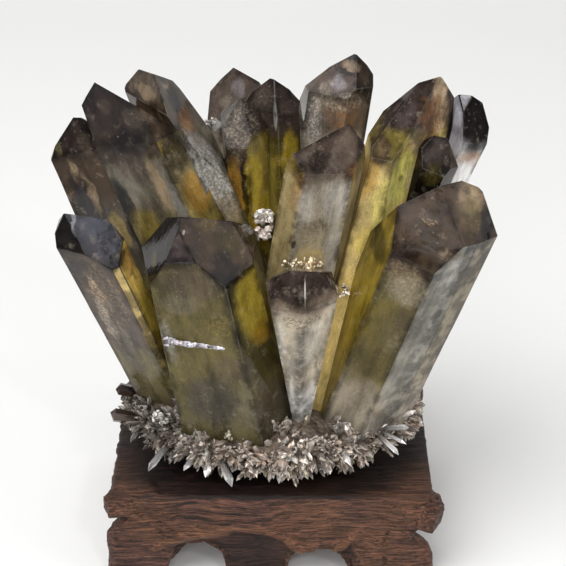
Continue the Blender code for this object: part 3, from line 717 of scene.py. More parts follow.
class Nodes:
    """Builds nodes in one tree: each call makes a node, sets its values and links its sockets."""

    def __init__(self, tree):
        self.tree = tree

    def put(self, socket, value):
        """A socket takes another node's output, or a plain value."""
        if isinstance(value, bpy.types.NodeSocket):
            self.tree.links.new(value, socket)
        else:
            socket.default_value = value

    def add(self, kind, **sockets):
        """A node of this kind, with its sockets set by name: an underscore stands for a space."""
        node = self.tree.nodes.new(kind)
        for key, value in sockets.items():
            self.put(node.inputs[key.replace("_", " ")], value)
        return node

    def math(self, operation, first, second=0.0, third=0.0):
        """Plain arithmetic on two or three numbers."""
        node = self.tree.nodes.new("ShaderNodeMath")
        node.operation = operation
        for socket, value in zip(node.inputs, (first, second, third)):
            self.put(socket, value)
        return node.outputs[0]

    def vector(self, operation, first, second):
        """Arithmetic on two vectors, or on a vector and the number that it is scaled by."""
        node = self.tree.nodes.new("ShaderNodeVectorMath")
        node.operation = operation
        self.put(node.inputs["Vector"], first)
        self.put(node.inputs["Scale"] if operation == "SCALE" else node.inputs[1], second)
        return node.outputs["Vector"]

    def length(self, place):
        """How far a place lies from the origin."""
        node = self.tree.nodes.new("ShaderNodeVectorMath")
        node.operation = "LENGTH"
        self.put(node.inputs[0], place)
        return node.outputs["Value"]

    def mix(self, factor, first, second):
        """Mixes two colours, through the Mix node's sockets for colours."""
        node = self.tree.nodes.new("ShaderNodeMix")
        node.data_type = "RGBA"
        self.put(node.inputs[0], factor)
        self.put(node.inputs[6], first)
        self.put(node.inputs[7], second)
        return node.outputs[2]

    def blend(self, factor, first, second):
        """Mixes two numbers, through the Mix node's sockets for numbers."""
        node = self.tree.nodes.new("ShaderNodeMix")
        self.put(node.inputs[0], factor)
        self.put(node.inputs[2], first)
        self.put(node.inputs[3], second)
        return node.outputs[0]

    def ramp(self, value, low, high, out_low=0.0, out_high=1.0):
        """A smooth step as value goes from low to high."""
        node = self.tree.nodes.new("ShaderNodeMapRange")
        node.interpolation_type = "SMOOTHSTEP"
        for socket, setting in zip(node.inputs, (value, low, high, out_low, out_high)):
            self.put(socket, setting)
        return node.outputs[0]

    def fall(self, value, low, high):
        """A smooth step down, from 1 where value is low to 0 where it is high."""
        return self.ramp(value, low, high, out_low=1.0, out_high=0.0)

    def noise(self, place, scale, detail=3.0, rough=0.55):
        """Cloudy noise from 0 to 1."""
        node = self.add("ShaderNodeTexNoise", Vector=place, Scale=scale, Detail=detail, Roughness=rough)
        return node.outputs["Fac"]

    def cells(self, place, scale):
        """The distance to the nearest of many scattered spots."""
        return self.add("ShaderNodeTexVoronoi", Vector=place, Scale=scale).outputs["Distance"]


def rgba(colour):
    """The colour with a full alpha, as sockets take it."""
    return (*colour, 1.0)


GROUPS = {}


def group(name, inputs, outputs, build):
    """A shader node group, built once: its sockets as (name, type, default), and what fills it."""
    if name not in GROUPS:
        tree = bpy.data.node_groups.new(name, "ShaderNodeTree")
        for label, kind, default in inputs:
            socket = tree.interface.new_socket(label, in_out="INPUT", socket_type="NodeSocket" + kind)
            if default is not None:
                socket.default_value = default
        for label, kind in outputs:
            tree.interface.new_socket(label, in_out="OUTPUT", socket_type="NodeSocket" + kind)
        made = Nodes(tree)
        entry = tree.nodes.new("NodeGroupInput")
        leave = tree.nodes.new("NodeGroupOutput")
        results = build(made, {label: entry.outputs[label] for label, _, _ in inputs})
        for label, value in results.items():
            made.put(leave.inputs[label], value)
        GROUPS[name] = tree
    return GROUPS[name]


def use(nodes, tree, **sockets):
    """Places a node group in a material and gives its outputs."""
    node = nodes.tree.nodes.new("ShaderNodeGroup")
    node.node_tree = tree
    for key, value in sockets.items():
        nodes.put(node.inputs[key.replace("_", " ")], value)
    return node.outputs


def sway():
    """Moves each place a little by noise, so that what is drawn there gets a ragged outline."""

    def build(n, given):
        node = n.add("ShaderNodeTexNoise", Vector=given["Place"], Scale=given["Scale"], Detail=5.0)
        offset = n.vector("SUBTRACT", node.outputs["Color"], (0.5, 0.5, 0.5))
        return {"Place": n.vector("ADD", given["Place"], n.vector("SCALE", offset, given["Amount"]))}

    return group(
        "sway",
        [("Place", "Vector", None), ("Scale", "Float", 0.12), ("Amount", "Float", 14.0)],
        [("Place", "Vector")],
        build,
    )


def smoke_zones():
    """Colour by depth below a point's tip, from the cap down to the base, with soft steps."""

    def build(n, given):
        depth = n.math("SUBTRACT", given["Tip"], part_of(n, given["Place"], "Z"))
        colour = given["Cap"]
        for zone, share in (("Band", 0.5), ("Body", 1.0), ("Base", 2.0)):
            blur = n.math("MULTIPLY", given["Blur"], share)
            start = given[zone + " Depth"]
            step = n.ramp(depth, n.math("SUBTRACT", start, blur), n.math("ADD", start, blur))
            colour = n.mix(step, colour, given[zone])
        return {"Color": colour}

    return group(
        "smoke_zones",
        [
            ("Place", "Vector", None), ("Tip", "Float", 150.0), ("Blur", "Float", 5.0),
            ("Cap", "Color", None), ("Band", "Color", None), ("Body", "Color", None),
            ("Base", "Color", None), ("Band Depth", "Float", 20.0), ("Body Depth", "Float", 35.0),
            ("Base Depth", "Float", 90.0),
        ],
        [("Color", "Color")],
        build,
    )


def blot():
    """Lays one blot of another colour over a colour: an oval at a place, broken into specks if asked."""

    def build(n, given):
        away = n.vector("SUBTRACT", given["Place"], given["Middle"])
        distance = n.length(n.vector("DIVIDE", away, given["Reach"]))
        inside = n.fall(distance, 0.62, 1.18)
        broken = n.math("MULTIPLY", inside, n.blend(given["Specks"], 1.0, given["Speckle"]))
        return {"Color": n.mix(n.math("MULTIPLY", broken, given["Amount"]), given["Color"], given["Ink"])}

    return group(
        "blot",
        [
            ("Place", "Vector", None), ("Color", "Color", None), ("Middle", "Vector", None),
            ("Reach", "Vector", None), ("Ink", "Color", None), ("Amount", "Float", 0.8),
            ("Specks", "Float", 0.0), ("Speckle", "Float", 1.0),
        ],
        [("Color", "Color")],
        build,
    )


def painted_edge_shade():
    """Darkens a colour along the edges between faces, unevenly: a painted shade for the dark rims of
    refraction.
    """

    def build(n, given):
        near = n.fall(given["Rim"], 0.2, 2.4)
        uneven = n.ramp(n.noise(given["Place"], 0.14, detail=4.0, rough=0.6), 0.36, 0.58)
        deep = n.vector("SCALE", given["Color"], 0.2)
        amount = n.math("MULTIPLY", n.math("MULTIPLY", near, uneven), given["Amount"])
        return {"Color": n.mix(amount, given["Color"], deep)}

    return group(
        "painted_edge_shade",
        [
            ("Place", "Vector", None), ("Color", "Color", None), ("Rim", "Float", 5.0),
            ("Amount", "Float", 0.8),
        ],
        [("Color", "Color")],
        build,
    )


def speckle():
    """A mask of small irregular grains, half of the surface."""

    def build(n, given):
        fine = n.noise(given["Place"], given["Scale"], detail=4.0, rough=0.75)
        return {"Mask": n.ramp(fine, 0.47, 0.58)}

    return group(
        "speckle", [("Place", "Vector", None), ("Scale", "Float", 0.9)], [("Mask", "Float")], build
    )


def mottling(n, place):
    """Patches, fibres and grains of light and dark, about 0."""
    total = -MOTTLING_LEVEL
    for drawn_out, scale, rough, strength in MOTTLING:
        drawn = n.vector("MULTIPLY", place, (1.0, 1.0, drawn_out))
        total = n.math("MULTIPLY_ADD", n.noise(drawn, scale, rough=rough), strength, total)
    return total


def clouds():
    """Lighter veils and darker wisps that run along a point, and fine mottling, over any colour."""

    def build(n, given):
        place = given["Place"]
        along = n.vector("MULTIPLY", place, (1.0, 1.0, 0.25))
        dark = n.fall(n.noise(along, given["Scale"], detail=6.0, rough=0.65), 0.35, 0.56)
        finer = n.math("MULTIPLY", given["Scale"], 2.3)
        veil = n.ramp(n.noise(place, finer, detail=5.0, rough=0.65), 0.55, 0.70)
        deep = n.vector("SCALE", given["Color"], 0.22)
        pale = n.mix(0.45, given["Color"], rgba(BEIGE))
        colour = n.mix(n.math("MULTIPLY", dark, given["Dark"]), given["Color"], deep)
        colour = n.mix(n.math("MULTIPLY", veil, given["Light"]), colour, pale)
        shade = n.math("MULTIPLY_ADD", mottling(n, place), given["Grain"], 1.0)
        return {"Color": n.vector("SCALE", colour, n.math("MAXIMUM", shade, 0.15)), "Veil": veil}

    return group(
        "clouds",
        [
            ("Place", "Vector", None), ("Color", "Color", None), ("Scale", "Float", 0.1),
            ("Dark", "Float", 0.6), ("Light", "Float", 0.4), ("Grain", "Float", 1.0),
        ],
        [("Color", "Color"), ("Veil", "Float")],
        build,
    )


def sparkle():
    """A mask of small scattered glints, gathered in patches."""

    def build(n, given):
        near = n.fall(n.cells(given["Place"], given["Scale"]), 0.08, 0.28)
        patch = n.ramp(n.noise(given["Place"], 0.12, detail=2.0), 0.5, 0.8)
        return {"Mask": n.math("MULTIPLY", near, patch)}

    return group(
        "sparkle", [("Place", "Vector", None), ("Scale", "Float", 0.6)], [("Mask", "Float")], build
    )


def growth_lines():
    """The height of fine steps across a point's sides, with a slow waviness."""

    def build(n, given):
        across = n.vector("MULTIPLY", given["Place"], (0.12, 0.12, 1.0))
        lines = n.math("MULTIPLY", n.noise(across, given["Lines"], detail=4.0, rough=0.7), 0.4)
        wave = n.noise(given["Place"], 0.11)
        return {"Height": n.math("MULTIPLY_ADD", wave, given["Waves"], lines)}

    return group(
        "growth_lines",
        [("Place", "Vector", None), ("Lines", "Float", 0.7), ("Waves", "Float", 2.5)],
        [("Height", "Float")],
        build,
    )


def new_material(name, **settings):
    """A material with one Principled shader, some of whose sockets are set to plain values by name.

    Gives the material, its node builder and the shader.
    """
    made = bpy.data.materials.new(name)
    made.use_nodes = True
    made.node_tree.nodes.clear()
    nodes = Nodes(made.node_tree)
    shader = nodes.add("ShaderNodeBsdfPrincipled", **settings)
    nodes.add("ShaderNodeOutputMaterial", Surface=shader.outputs[0])
    return made, nodes, shader


def local_millimetres(nodes):
    """The place in the piece's own axes, in millimetres."""
    place = nodes.add("ShaderNodeTexCoord").outputs["Object"]
    return nodes.vector("SCALE", place, 1 / MM)


def part_of(nodes, place, axis):
    """One of a place's three coordinates."""
    return nodes.add("ShaderNodeSeparateXYZ", Vector=place).outputs[axis]


def attribute(nodes, name):
    """What the mesh keeps under this name."""
    node = nodes.add("ShaderNodeAttribute")
    node.attribute_name = name
    return node.outputs


def bump(nodes, shader, height, strength, distance):
    """Tilts the shading by a height over the surface."""
    node = nodes.add("ShaderNodeBump", Height=height, Strength=strength, Distance=distance)
    nodes.put(shader.inputs["Normal"], node.outputs[0])


def quartz_colour(nodes, place, wanted, length):
    """The zones, face tints and blots of one point."""
    swayed = use(nodes, sway(), Place=place)["Place"]
    cap, band, body, base = (rgba(colour) for colour in wanted["zones"])
    band_depth, body_depth, base_depth = (float(depth) for depth in wanted["depths"])
    colour = use(
        nodes, smoke_zones(), Place=swayed, Tip=length / MM, Cap=cap, Band=band, Body=body, Base=base,
        Band_Depth=band_depth, Body_Depth=body_depth, Base_Depth=base_depth,
    )["Color"]
    tint = attribute(nodes, "face_tint")
    colour = nodes.mix(tint["Alpha"], colour, tint["Color"])
    ragged = use(nodes, sway(), Place=place, Scale=0.2, Amount=5.0)["Place"]
    grains = use(nodes, speckle(), Place=place)["Mask"]
    for middle, reach, ink, amount, specks in wanted["marks"]:
        colour = use(
            nodes, blot(), Place=ragged if specks else place, Color=colour, Middle=middle,
            Reach=reach, Ink=rgba(ink), Amount=float(amount), Specks=float(specks), Speckle=grains,
        )["Color"]
    return colour


def quartz_material(spec):
    """The glassy finish of one point, from its own entry in LOOKS."""
    wanted = LOOKS[spec["name"]]
    made, nodes, shader = new_material(
        "quartz_" + spec["name"], Transmission_Weight=wanted["clear"], IOR=QUARTZ_IOR,
        Specular_IOR_Level=QUARTZ_GLOSS, Specular_Tint=QUARTZ_SHEEN,
    )
    place = attribute(nodes, "own_place")["Vector"]
    colour = quartz_colour(nodes, place, wanted, length_of(spec))
    # Painted shade along the edges between faces, for the dark rims that refraction gives.
    colour = use(nodes, painted_edge_shade(), Place=place, Color=colour, Rim=attribute(nodes, "rim")["Fac"])["Color"]
    cloudy = use(nodes, clouds(), Place=place, Color=colour, Grain=float(wanted["grain"]))
    glints = use(nodes, sparkle(), Place=place)["Mask"]
    # A painted highlight along the eased edges, broken up by noise; it also makes them a little rougher.
    edge_highlight = nodes.math("MULTIPLY", attribute(nodes, "edge")["Fac"], wanted["edge"])
    edge_highlight = nodes.math("MULTIPLY", edge_highlight, nodes.ramp(nodes.noise(place, 0.09), 0.45, 0.6))
    colour = nodes.mix(nodes.math("MULTIPLY", glints, 0.3), cloudy["Color"], rgba(MILK))
    nodes.put(shader.inputs["Base Color"], nodes.mix(edge_highlight, colour, rgba(PEARL)))
    rough = nodes.math("MULTIPLY_ADD", cloudy["Veil"], 0.12, wanted["rough"])
    nodes.put(shader.inputs["Roughness"], nodes.math("MULTIPLY_ADD", edge_highlight, 0.2, rough))
    lines = use(nodes, growth_lines(), Place=place)["Height"]
    bump(nodes, shader, lines, strength=0.2, distance=0.4 * MM)
    smoke = rgba(wanted["smoke"])
    absorb = nodes.add("ShaderNodeVolumeAbsorption", Color=smoke, Density=float(wanted["dense"]))
    nodes.put(made.node_tree.get_output_node("ALL").inputs["Volume"], absorb.outputs[0])
    return made


# ---------------------------------------------------------------- the large points


def length_of(spec):
    """How long the point's axis is, in metres."""
    return (spec["apex"] - spec["foot"]).length


def frame_of(spec):
    """The point's own axes as a matrix: local +X to the right, +Y to the back, +Z from foot to apex."""
    axis = (spec["apex"] - spec["foot"]).normalized()
    right = Vector((1, 0, 0))
    right = (right - axis * right.dot(axis)).normalized()
    back = axis.cross(right)
    matrix = Matrix((right, back, axis)).transposed().to_4x4()
    matrix.translation = spec["foot"]
    return matrix


def cut(shape, point, normal):
    """Slices off what lies past the plane, and closes the shape with one flat face."""
    geometry = shape.verts[:] + shape.edges[:] + shape.faces[:]
    made = bmesh.ops.bisect_plane(
        shape, geom=geometry, dist=ON_CUT, plane_co=point, plane_no=normal, clear_outer=True
    )
    rim = [part for part in made["geom_cut"] if isinstance(part, bmesh.types.BMEdge)]
    if rim:
        bmesh.ops.edgeloop_fill(shape, edges=rim)


def score(shape, point, normal):
    """Draws a line round the shape where the plane meets it."""
    geometry = shape.verts[:] + shape.edges[:] + shape.faces[:]
    bmesh.ops.bisect_plane(shape, geom=geometry, dist=ON_CUT, plane_co=point, plane_no=normal)


def planes_of(spec):
    """Every side and end face as (name, point, normal), in the point's own axes."""
    length = length_of(spec)
    planes = []
    for row, (turn, side, slope, drop) in enumerate(spec["faces"]):
        outward = Vector((math.cos(turn), math.sin(turn), 0))
        middle = UP * length * MIDDLE_SHARE + outward * side
        lean = outward * math.cos(spec["taper"]) + UP * math.sin(spec["taper"])
        planes.append((f"{row}s", middle, lean))
        planes.append((f"{row}e", UP * (length - drop), outward * math.cos(slope) + UP * math.sin(slope)))
    return planes


def crystal_shape(spec, planes, floor, ease):
    """A bmesh of the point in its own axes: its planes cut and its edges eased, on a level floor."""
    length = length_of(spec)
    block = (BLOCK_WIDTH * length, BLOCK_WIDTH * length, BLOCK_HEIGHT * length)
    shape = bmesh.new()
    bmesh.ops.create_cube(shape, size=1.0)
    bmesh.ops.scale(shape, vec=block, verts=shape.verts)
    for _, point, normal in planes:
        cut(shape, point, normal)
    to_local = frame_of(spec).inverted()
    cut(shape, to_local @ (UP * floor), to_local.to_3x3() @ -UP)
    bmesh.ops.bevel(
        shape, geom=shape.edges[:], offset=ease, segments=EDGE_SEGMENTS, profile=0.5,
        affect="EDGES", clamp_overlap=True,
    )
    return shape


def score_grid(shape, steps):
    """Splits the faces by a grid, and closely on both sides of each growth step."""
    for index in range(-GRID_ROWS, GRID_ROWS + 1):
        score(shape, Vector((index * GRID_STEP, 0, 0)), Vector((1, 0, 0)))
        score(shape, Vector((0, index * GRID_STEP, 0)), Vector((0, 1, 0)))
    for index in range(GRID_LAYERS):
        score(shape, UP * index * GRID_STEP, UP)
    for height in steps:
        score(shape, UP * height, UP)
        score(shape, UP * (height + STEP_LENGTH), UP)


def tint_faces(shape, planes, tints):
    """Writes each face's own tint at its corners, and the eased edges and the way to them at vertices.

    rim is how far a vertex lies, in millimetres, from the nearest edge of the face that it is on. The
    plane nearest to it is that face's own, so the second nearest gives the edge.
    """
    tint_layer = shape.loops.layers.float_color.new("face_tint")
    edge_layer = shape.verts.layers.float.new("edge")
    rim_layer = shape.verts.layers.float.new("rim")
    for vertex in shape.verts:
        vertex[edge_layer] = 1.0
        gaps = sorted(abs((point - vertex.co).dot(normal)) for _, point, normal in planes)
        vertex[rim_layer] = gaps[1] / MM
    for face in shape.faces:
        face.normal_update()
        middle = face.calc_center_median()
        found = None
        for label, point, normal in planes:
            if face.normal.dot(normal) > SAME_WAY and abs((middle - point).dot(normal)) < SAME_PLANE:
                found = label
        colour, amount = tints.get(found, (COAL, 0.0))
        for loop in face.loops:
            loop[tint_layer] = (*colour, amount)
            if found:
                loop.vert[edge_layer] = 0.0


def roughen(shape, steps, shift):
    """Growth steps across the sides, and a slight warp so that no face is a perfect mirror.

    shift moves the noise along, so that each point is warped in its own way. own_place keeps each
    vertex's place in the point's own axes, in millimetres, for its colours.
    """
    place_layer = shape.verts.layers.float_vector.new("own_place")
    for vertex in shape.verts:
        place = vertex.co.copy()
        vertex[place_layer] = place / MM
        outward = Vector((place.x, place.y, 0))
        if outward.length > ON_AXIS:
            above = sum(1 for height in steps if place.z > height + STEP_LENGTH / 2)
            vertex.co -= outward.normalized() * STEP_DEPTH * (above % 2)
        vertex.co += noise.noise_vector(place * WARP_OFTEN + Vector((shift, 0, 0))) * WARP


def object_from(name, shape, matrix, finish):
    """Links a piece made from a bmesh, moved to where a matrix in the drawing frame puts it."""
    mesh = bpy.data.meshes.new(name)
    shape.transform(Matrix.Translation(SHIFT) @ matrix)
    shape.to_mesh(mesh)
    shape.free()
    mesh.materials.append(finish)
    placed = bpy.data.objects.new(name, mesh)
    bpy.context.scene.collection.objects.link(placed)
    return placed


def dress(piece, node):
    """The piece rides with the part and stands for its solid, which is hidden."""
    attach(piece, "root")
    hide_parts(node)


def large_points():
    """The nineteen large points, each a closed solid of its own."""
    for index, spec in enumerate(CRYSTALS):
        length = length_of(spec)
        planes = planes_of(spec)
        rng = random.Random(index)
        steps = sorted(rng.uniform(*STEP_SPAN) * length for _ in range(STEP_COUNT))
        wanted = LOOKS[spec["name"]]
        shape = crystal_shape(spec, planes, POINT_FLOOR + FLOOR_STEP * index, wanted["ease"] * MM)
        score_grid(shape, steps)
        tint_faces(shape, planes, wanted["faces"])
        roughen(shape, steps, index * WARP_SHIFT)
        piece = object_from("point_" + spec["name"], shape, frame_of(spec), quartz_material(spec))
        dress(piece, "quartz_cluster")


# ---------------------------------------------------------------- the crust and its small crystals


class Needles:
    """Gathers many small crystals, each a closed six-sided prism with a point, into one mesh."""

    def __init__(self, seed):
        self.rng = random.Random(seed)
        self.points = []
        self.faces = []
        self.tints = []
        self.facet_lights = []

    def add(self, foot, tip, width, tint, end=None, slope=TIP_SLOPE):
        """One crystal from foot to tip, tint along its sides and end at its very tip.

        Each of its faces is a little lighter or darker than the rest, a painted glint or painted shade
        for the light that clear crystal catches or loses.
        """
        axis = tip - foot
        length = axis.length
        point = min(TIP_SHARE * length, slope * width)
        turn = self.rng.uniform(0, math.tau / PRISM_SIDES)
        matrix = UP.rotation_difference(axis).to_matrix()
        flat = self.rng.uniform(*FLATNESS)
        foot_ring = len(self.points)
        top_ring = foot_ring + PRISM_SIDES
        for height, share in ((0, FOOT_WIDTH), (length - point, 1.0)):
            for side in range(PRISM_SIDES):
                angle = turn + side * math.tau / PRISM_SIDES
                rim = Vector((math.cos(angle), math.sin(angle) * flat, 0)) * width * share / 2
                self.points.append(foot + matrix @ (rim + UP * height))
        aside = [self.rng.uniform(-TIP_ASIDE, TIP_ASIDE) for _ in range(2)]
        self.points.append(foot + matrix @ (UP * length + Vector((*aside, 0)) * width))
        for side in range(PRISM_SIDES):
            after = (side + 1) % PRISM_SIDES
            self.faces.append((foot_ring + side, foot_ring + after, top_ring + after, top_ring + side))
            self.faces.append((top_ring + side, top_ring + after, top_ring + PRISM_SIDES))
            self.facet_lights += [self.rng.choice(PAINTED_FACET_LIGHT), self.rng.choice(PAINTED_FACET_LIGHT)]
        self.faces.append(tuple(foot_ring + side for side in reversed(range(PRISM_SIDES))))
        self.facet_lights.append(1.0)
        self.colour(Vector(tint), end)

    def colour(self, tint, end):
        """The colours of one crystal's vertices: dark at its foot, a painted shade where the crystals
        crowd, and paler from there to its tip.
        """
        end = Vector(end or tint.lerp(Vector(MILK), TIP_PALENESS))
        for colour in (tint * FOOT_PAINTED_SHADE, tint.lerp(end, 0.5)):
            self.tints += [colour] * PRISM_SIDES
        self.tints.append(end)

    def make(self, name, finish):
        """Links all that was gathered as one piece."""
        mesh = bpy.data.meshes.new(name)
        mesh.from_pydata([tuple(point) for point in self.points], [], self.faces)
        layer = mesh.attributes.new("tint", "FLOAT_COLOR", "POINT")
        layer.data.foreach_set("color", [value for tint in self.tints for value in (*tint, 1.0)])
        facet_lights = mesh.attributes.new("facet_light", "FLOAT", "FACE")
        facet_lights.data.foreach_set("value", self.facet_lights)
        mesh.materials.append(finish)
        placed = bpy.data.objects.new(name, mesh)
        bpy.context.scene.collection.objects.link(placed)
        placed.location = SHIFT
        dress(placed, "quartz_cluster")


def crust_point(turn, level):
    """A place on the crust and the way out from it. level runs from 0, underneath, to the last ring."""
    below = min(int(level), len(CRUST_RINGS) - 2)
    part = level - below
    share = CRUST_RINGS[below][0] * (1 - part) + CRUST_RINGS[below + 1][0] * part
    height = CRUST_RINGS[below][1] * (1 - part) + CRUST_RINGS[below + 1][1] * part
    run = (CRUST_RINGS[below + 1][0] - CRUST_RINGS[below][0]) * (CRUST_HALF_X + CRUST_HALF_Y) / 2 / MM
    rise = CRUST_RINGS[below + 1][1] - CRUST_RINGS[below][1]
    place = Vector((
        CRUST_HALF_X * share * math.cos(turn),
        CRUST_HALF_Y * share * math.sin(turn) + CRUST_BACK,
        STAND_HEIGHT + GAP + height * MM,
    ))
    outward = Vector((math.cos(turn) / CRUST_HALF_X, math.sin(turn) / CRUST_HALF_Y, 0)).normalized()
    return place, (outward * rise - UP * run).normalized()


def jitter(rng, amount):
    """A random move of up to this much along each axis."""
    return Vector([rng.uniform(-amount, amount) for _ in range(3)])


def sprays(needles):
    """Sprays of needles all over the crust, thickest round its rim: most thin and clear, some brown."""
    rng = needles.rng
    for _ in range(SPRAY_COUNT):
        turn = rng.uniform(0, math.tau)
        place, way = crust_point(turn, rng.triangular(*SPRAY_LEVELS))
        way = (way + jitter(rng, SPRAY_SCATTER)).normalized()
        tint = Vector(rng.choice(DRUSE_TINTS))
        size = rng.uniform(*SPRAY_SIZES)
        for _ in range(rng.randint(*SPRAY_NEEDLES)):
            aim = (way + jitter(rng, SPRAY_SCATTER)).normalized()
            foot = place + jitter(rng, SPRAY_FEET) - aim * SPRAY_ROOT * MM
            tip = foot + aim * (rng.uniform(*NEEDLE_LENGTHS) * size + SPRAY_ROOT) * MM
            if tip.z > STAND_HEIGHT + TIP_CLEARANCE:
                width = rng.uniform(*NEEDLE_WIDTHS) * size * MM
                needles.add(foot, tip, width, tint * rng.uniform(*NEEDLE_SHADES))


def bands(needles):
    """The larger small crystals, in bands round the rim, and the few that show best by themselves."""
    rng = needles.rng
    for count, share, height, tip_up, shortest, longest, thin, thick in SMALL_BANDS:
        for index in range(count):
            turn = math.tau * (index + rng.uniform(-SMALL_STAGGER, SMALL_STAGGER)) / count
            outward = Vector((math.cos(turn) / CRUST_HALF_X, math.sin(turn) / CRUST_HALF_Y, 0))
            rise = math.radians(tip_up + rng.uniform(-SMALL_SPREAD, SMALL_SPREAD))
            swing = Matrix.Rotation(math.radians(rng.uniform(-SMALL_SPREAD, SMALL_SPREAD)), 3, "Z")
            way = swing @ (outward.normalized() * math.cos(rise) + UP * math.sin(rise))
            length = rng.uniform(shortest, longest) * MM
            width = rng.uniform(thin, thick) * MM * BAND_SLIMNESS
            rim = Vector((
                CRUST_HALF_X * share * math.cos(turn),
                CRUST_HALF_Y * share * math.sin(turn) + CRUST_BACK,
                height * MM,
            ))
            tint = Vector(rng.choice(DRUSE_TINTS))
            foot = rim - way * length * BURIED_SHARE
            needles.add(foot, rim + way * length * (1 - BURIED_SHARE), width, tint)
    for foot, tip, width, tint, end in CHOSEN_SMALL:
        slope = BLUNT_SLOPE if end == BLACK else TIP_SLOPE
        needles.add(Vector(foot) * MM, Vector(tip) * MM, width * MM, tint, end, slope)


def nests(needles):
    """Little nests of white needles on the sides of the large points."""
    rng = needles.rng
    for place, way, count, longest, thickest, spread, tint in NESTS:
        for _ in range(count):
            aim = (Vector(way).normalized() + jitter(rng, NEST_SCATTER)).normalized()
            aside = Vector([rng.uniform(-reach, reach) for reach in spread])
            foot = (Vector(place) + aside) * MM - aim * NEST_ROOT * MM
            tip = foot + aim * (rng.uniform(*NEST_LENGTHS) * longest + NEST_ROOT) * MM
            needles.add(foot, tip, rng.uniform(*NEST_WIDTHS) * thickest * MM, tint, MILK)


def ledge(needles):
    """The rough scar across the broad front point: small grains along a line, thinning to one end."""
    rng = needles.rng
    start, end = (Vector(place) for place in LEDGE_ENDS)
    for index in range(LEDGE_GRAINS):
        along = index / LEDGE_GRAINS
        thick = LEDGE_THICK * (1 - LEDGE_THINNING * along)
        lump = 1.0 + LEDGE_LUMP * max(0.0, LEDGE_LUMP_END - along) / LEDGE_LUMP_END
        place = start.lerp(end, along) + LEDGE_INSET + jitter(rng, LEDGE_SCATTER)
        reach = Vector([rng.uniform(*span) for span in LEDGE_REACH])
        tint = LILAC if rng.random() < LEDGE_PALE_SHARE else TAUPE
        needles.add((place - reach) * MM, (place + reach) * MM, thick * lump * MM, tint, LILAC)


def druse():
    """All the small crystals as three joined meshes."""
    fine = Needles(SEED)
    sprays(fine)
    fine.make("druse_sprays", druse_material("druse_fine", CRUST_CLEARNESS))
    bold = Needles(SEED + 1)
    bands(bold)
    bold.make("druse_points", druse_material("druse_clear", CRUST_CLEARNESS))
    white = Needles(SEED + 2)
    nests(white)
    ledge(white)
    white.make("druse_nests", druse_material("druse_white", NEST_CLEARNESS))


def druse_material(name, clear):
    """Pale, slightly brown, clear small crystals, dusty in patches and smokier at the left end."""
    made, nodes, shader = new_material(
        name, Transmission_Weight=clear, IOR=QUARTZ_IOR, Specular_IOR_Level=DRUSE_GLOSS
    )
    place = local_millimetres(nodes)
    tint = attribute(nodes, "tint")["Color"]
    dusty = nodes.ramp(nodes.noise(place, 0.10, detail=4.0, rough=0.6), 0.45, 0.60)
    colour = nodes.mix(nodes.math("MULTIPLY", dusty, 0.45), tint, rgba(COCOA))
    fine = nodes.noise(place, 1.3, detail=4.0, rough=0.75)
    smoked = nodes.ramp(part_of(nodes, place, "X"), *SMOKY_END, *SMOKY_SHADES)
    speckled = nodes.math("MULTIPLY", nodes.math("MULTIPLY_ADD", fine, 1.2, 0.5), smoked)
    # Each face of a small crystal is lighter or darker by its painted glint or painted shade.
    shade = nodes.math("MULTIPLY", attribute(nodes, "facet_light")["Fac"], speckled)
    nodes.put(shader.inputs["Base Color"], nodes.vector("SCALE", colour, shade))
    nodes.put(shader.inputs["Roughness"], nodes.math("MULTIPLY_ADD", fine, 0.12, 0.02))
    return made


def crust_material():
    """The matted ground of the crust, between its small crystals."""
    made, nodes, shader = new_material("crust")
    place = local_millimetres(nodes)
    patch = nodes.ramp(nodes.noise(place, 0.15, detail=5.0, rough=0.65), 0.4, 0.65)
    grains = use(nodes, speckle(), Place=place)["Mask"]
    colour = nodes.mix(patch, rgba(BARK), rgba(TAUPE))
    colour = nodes.mix(nodes.math("MULTIPLY", grains, 0.5), colour, rgba(UMBER))
    nodes.put(shader.inputs["Base Color"], colour)
    nodes.put(shader.inputs["Roughness"], nodes.math("MULTIPLY_ADD", patch, 0.25, 0.4))
    bump(nodes, shader, nodes.cells(place, 0.7), strength=0.8, distance=0.8 * MM)
    return made


def crust_ground():
    """The crust's own body: a rough oval plate, flat underneath."""
    shape = bmesh.new()
    rings = []
    for step in range(GROUND_SPLIT * (len(CRUST_RINGS) - 1) + 1):
        ring = []
        for index in range(GROUND_SIDES):
            place, way = crust_point(math.tau * index / GROUND_SIDES, step / GROUND_SPLIT)
            lift = sum(noise.noise(place * often) * high for often, high in GROUND_LUMPS)
            ring.append(shape.verts.new(place + way * lift * MM * (step > 0)))
        rings.append(ring)
    for below, above in zip(rings, rings[1:]):
        for index in range(GROUND_SIDES):
            after = (index + 1) % GROUND_SIDES
            shape.faces.new((below[index], below[after], above[after], above[index]))
    shape.faces.new(rings[0])
    shape.faces.new(rings[-1])
    bmesh.ops.recalc_face_normals(shape, faces=shape.faces[:])
    piece = object_from("crust_ground", shape, Matrix.Identity(4), crust_material())
    dress(piece, "quartz_cluster")


# ---------------------------------------------------------------- the stand


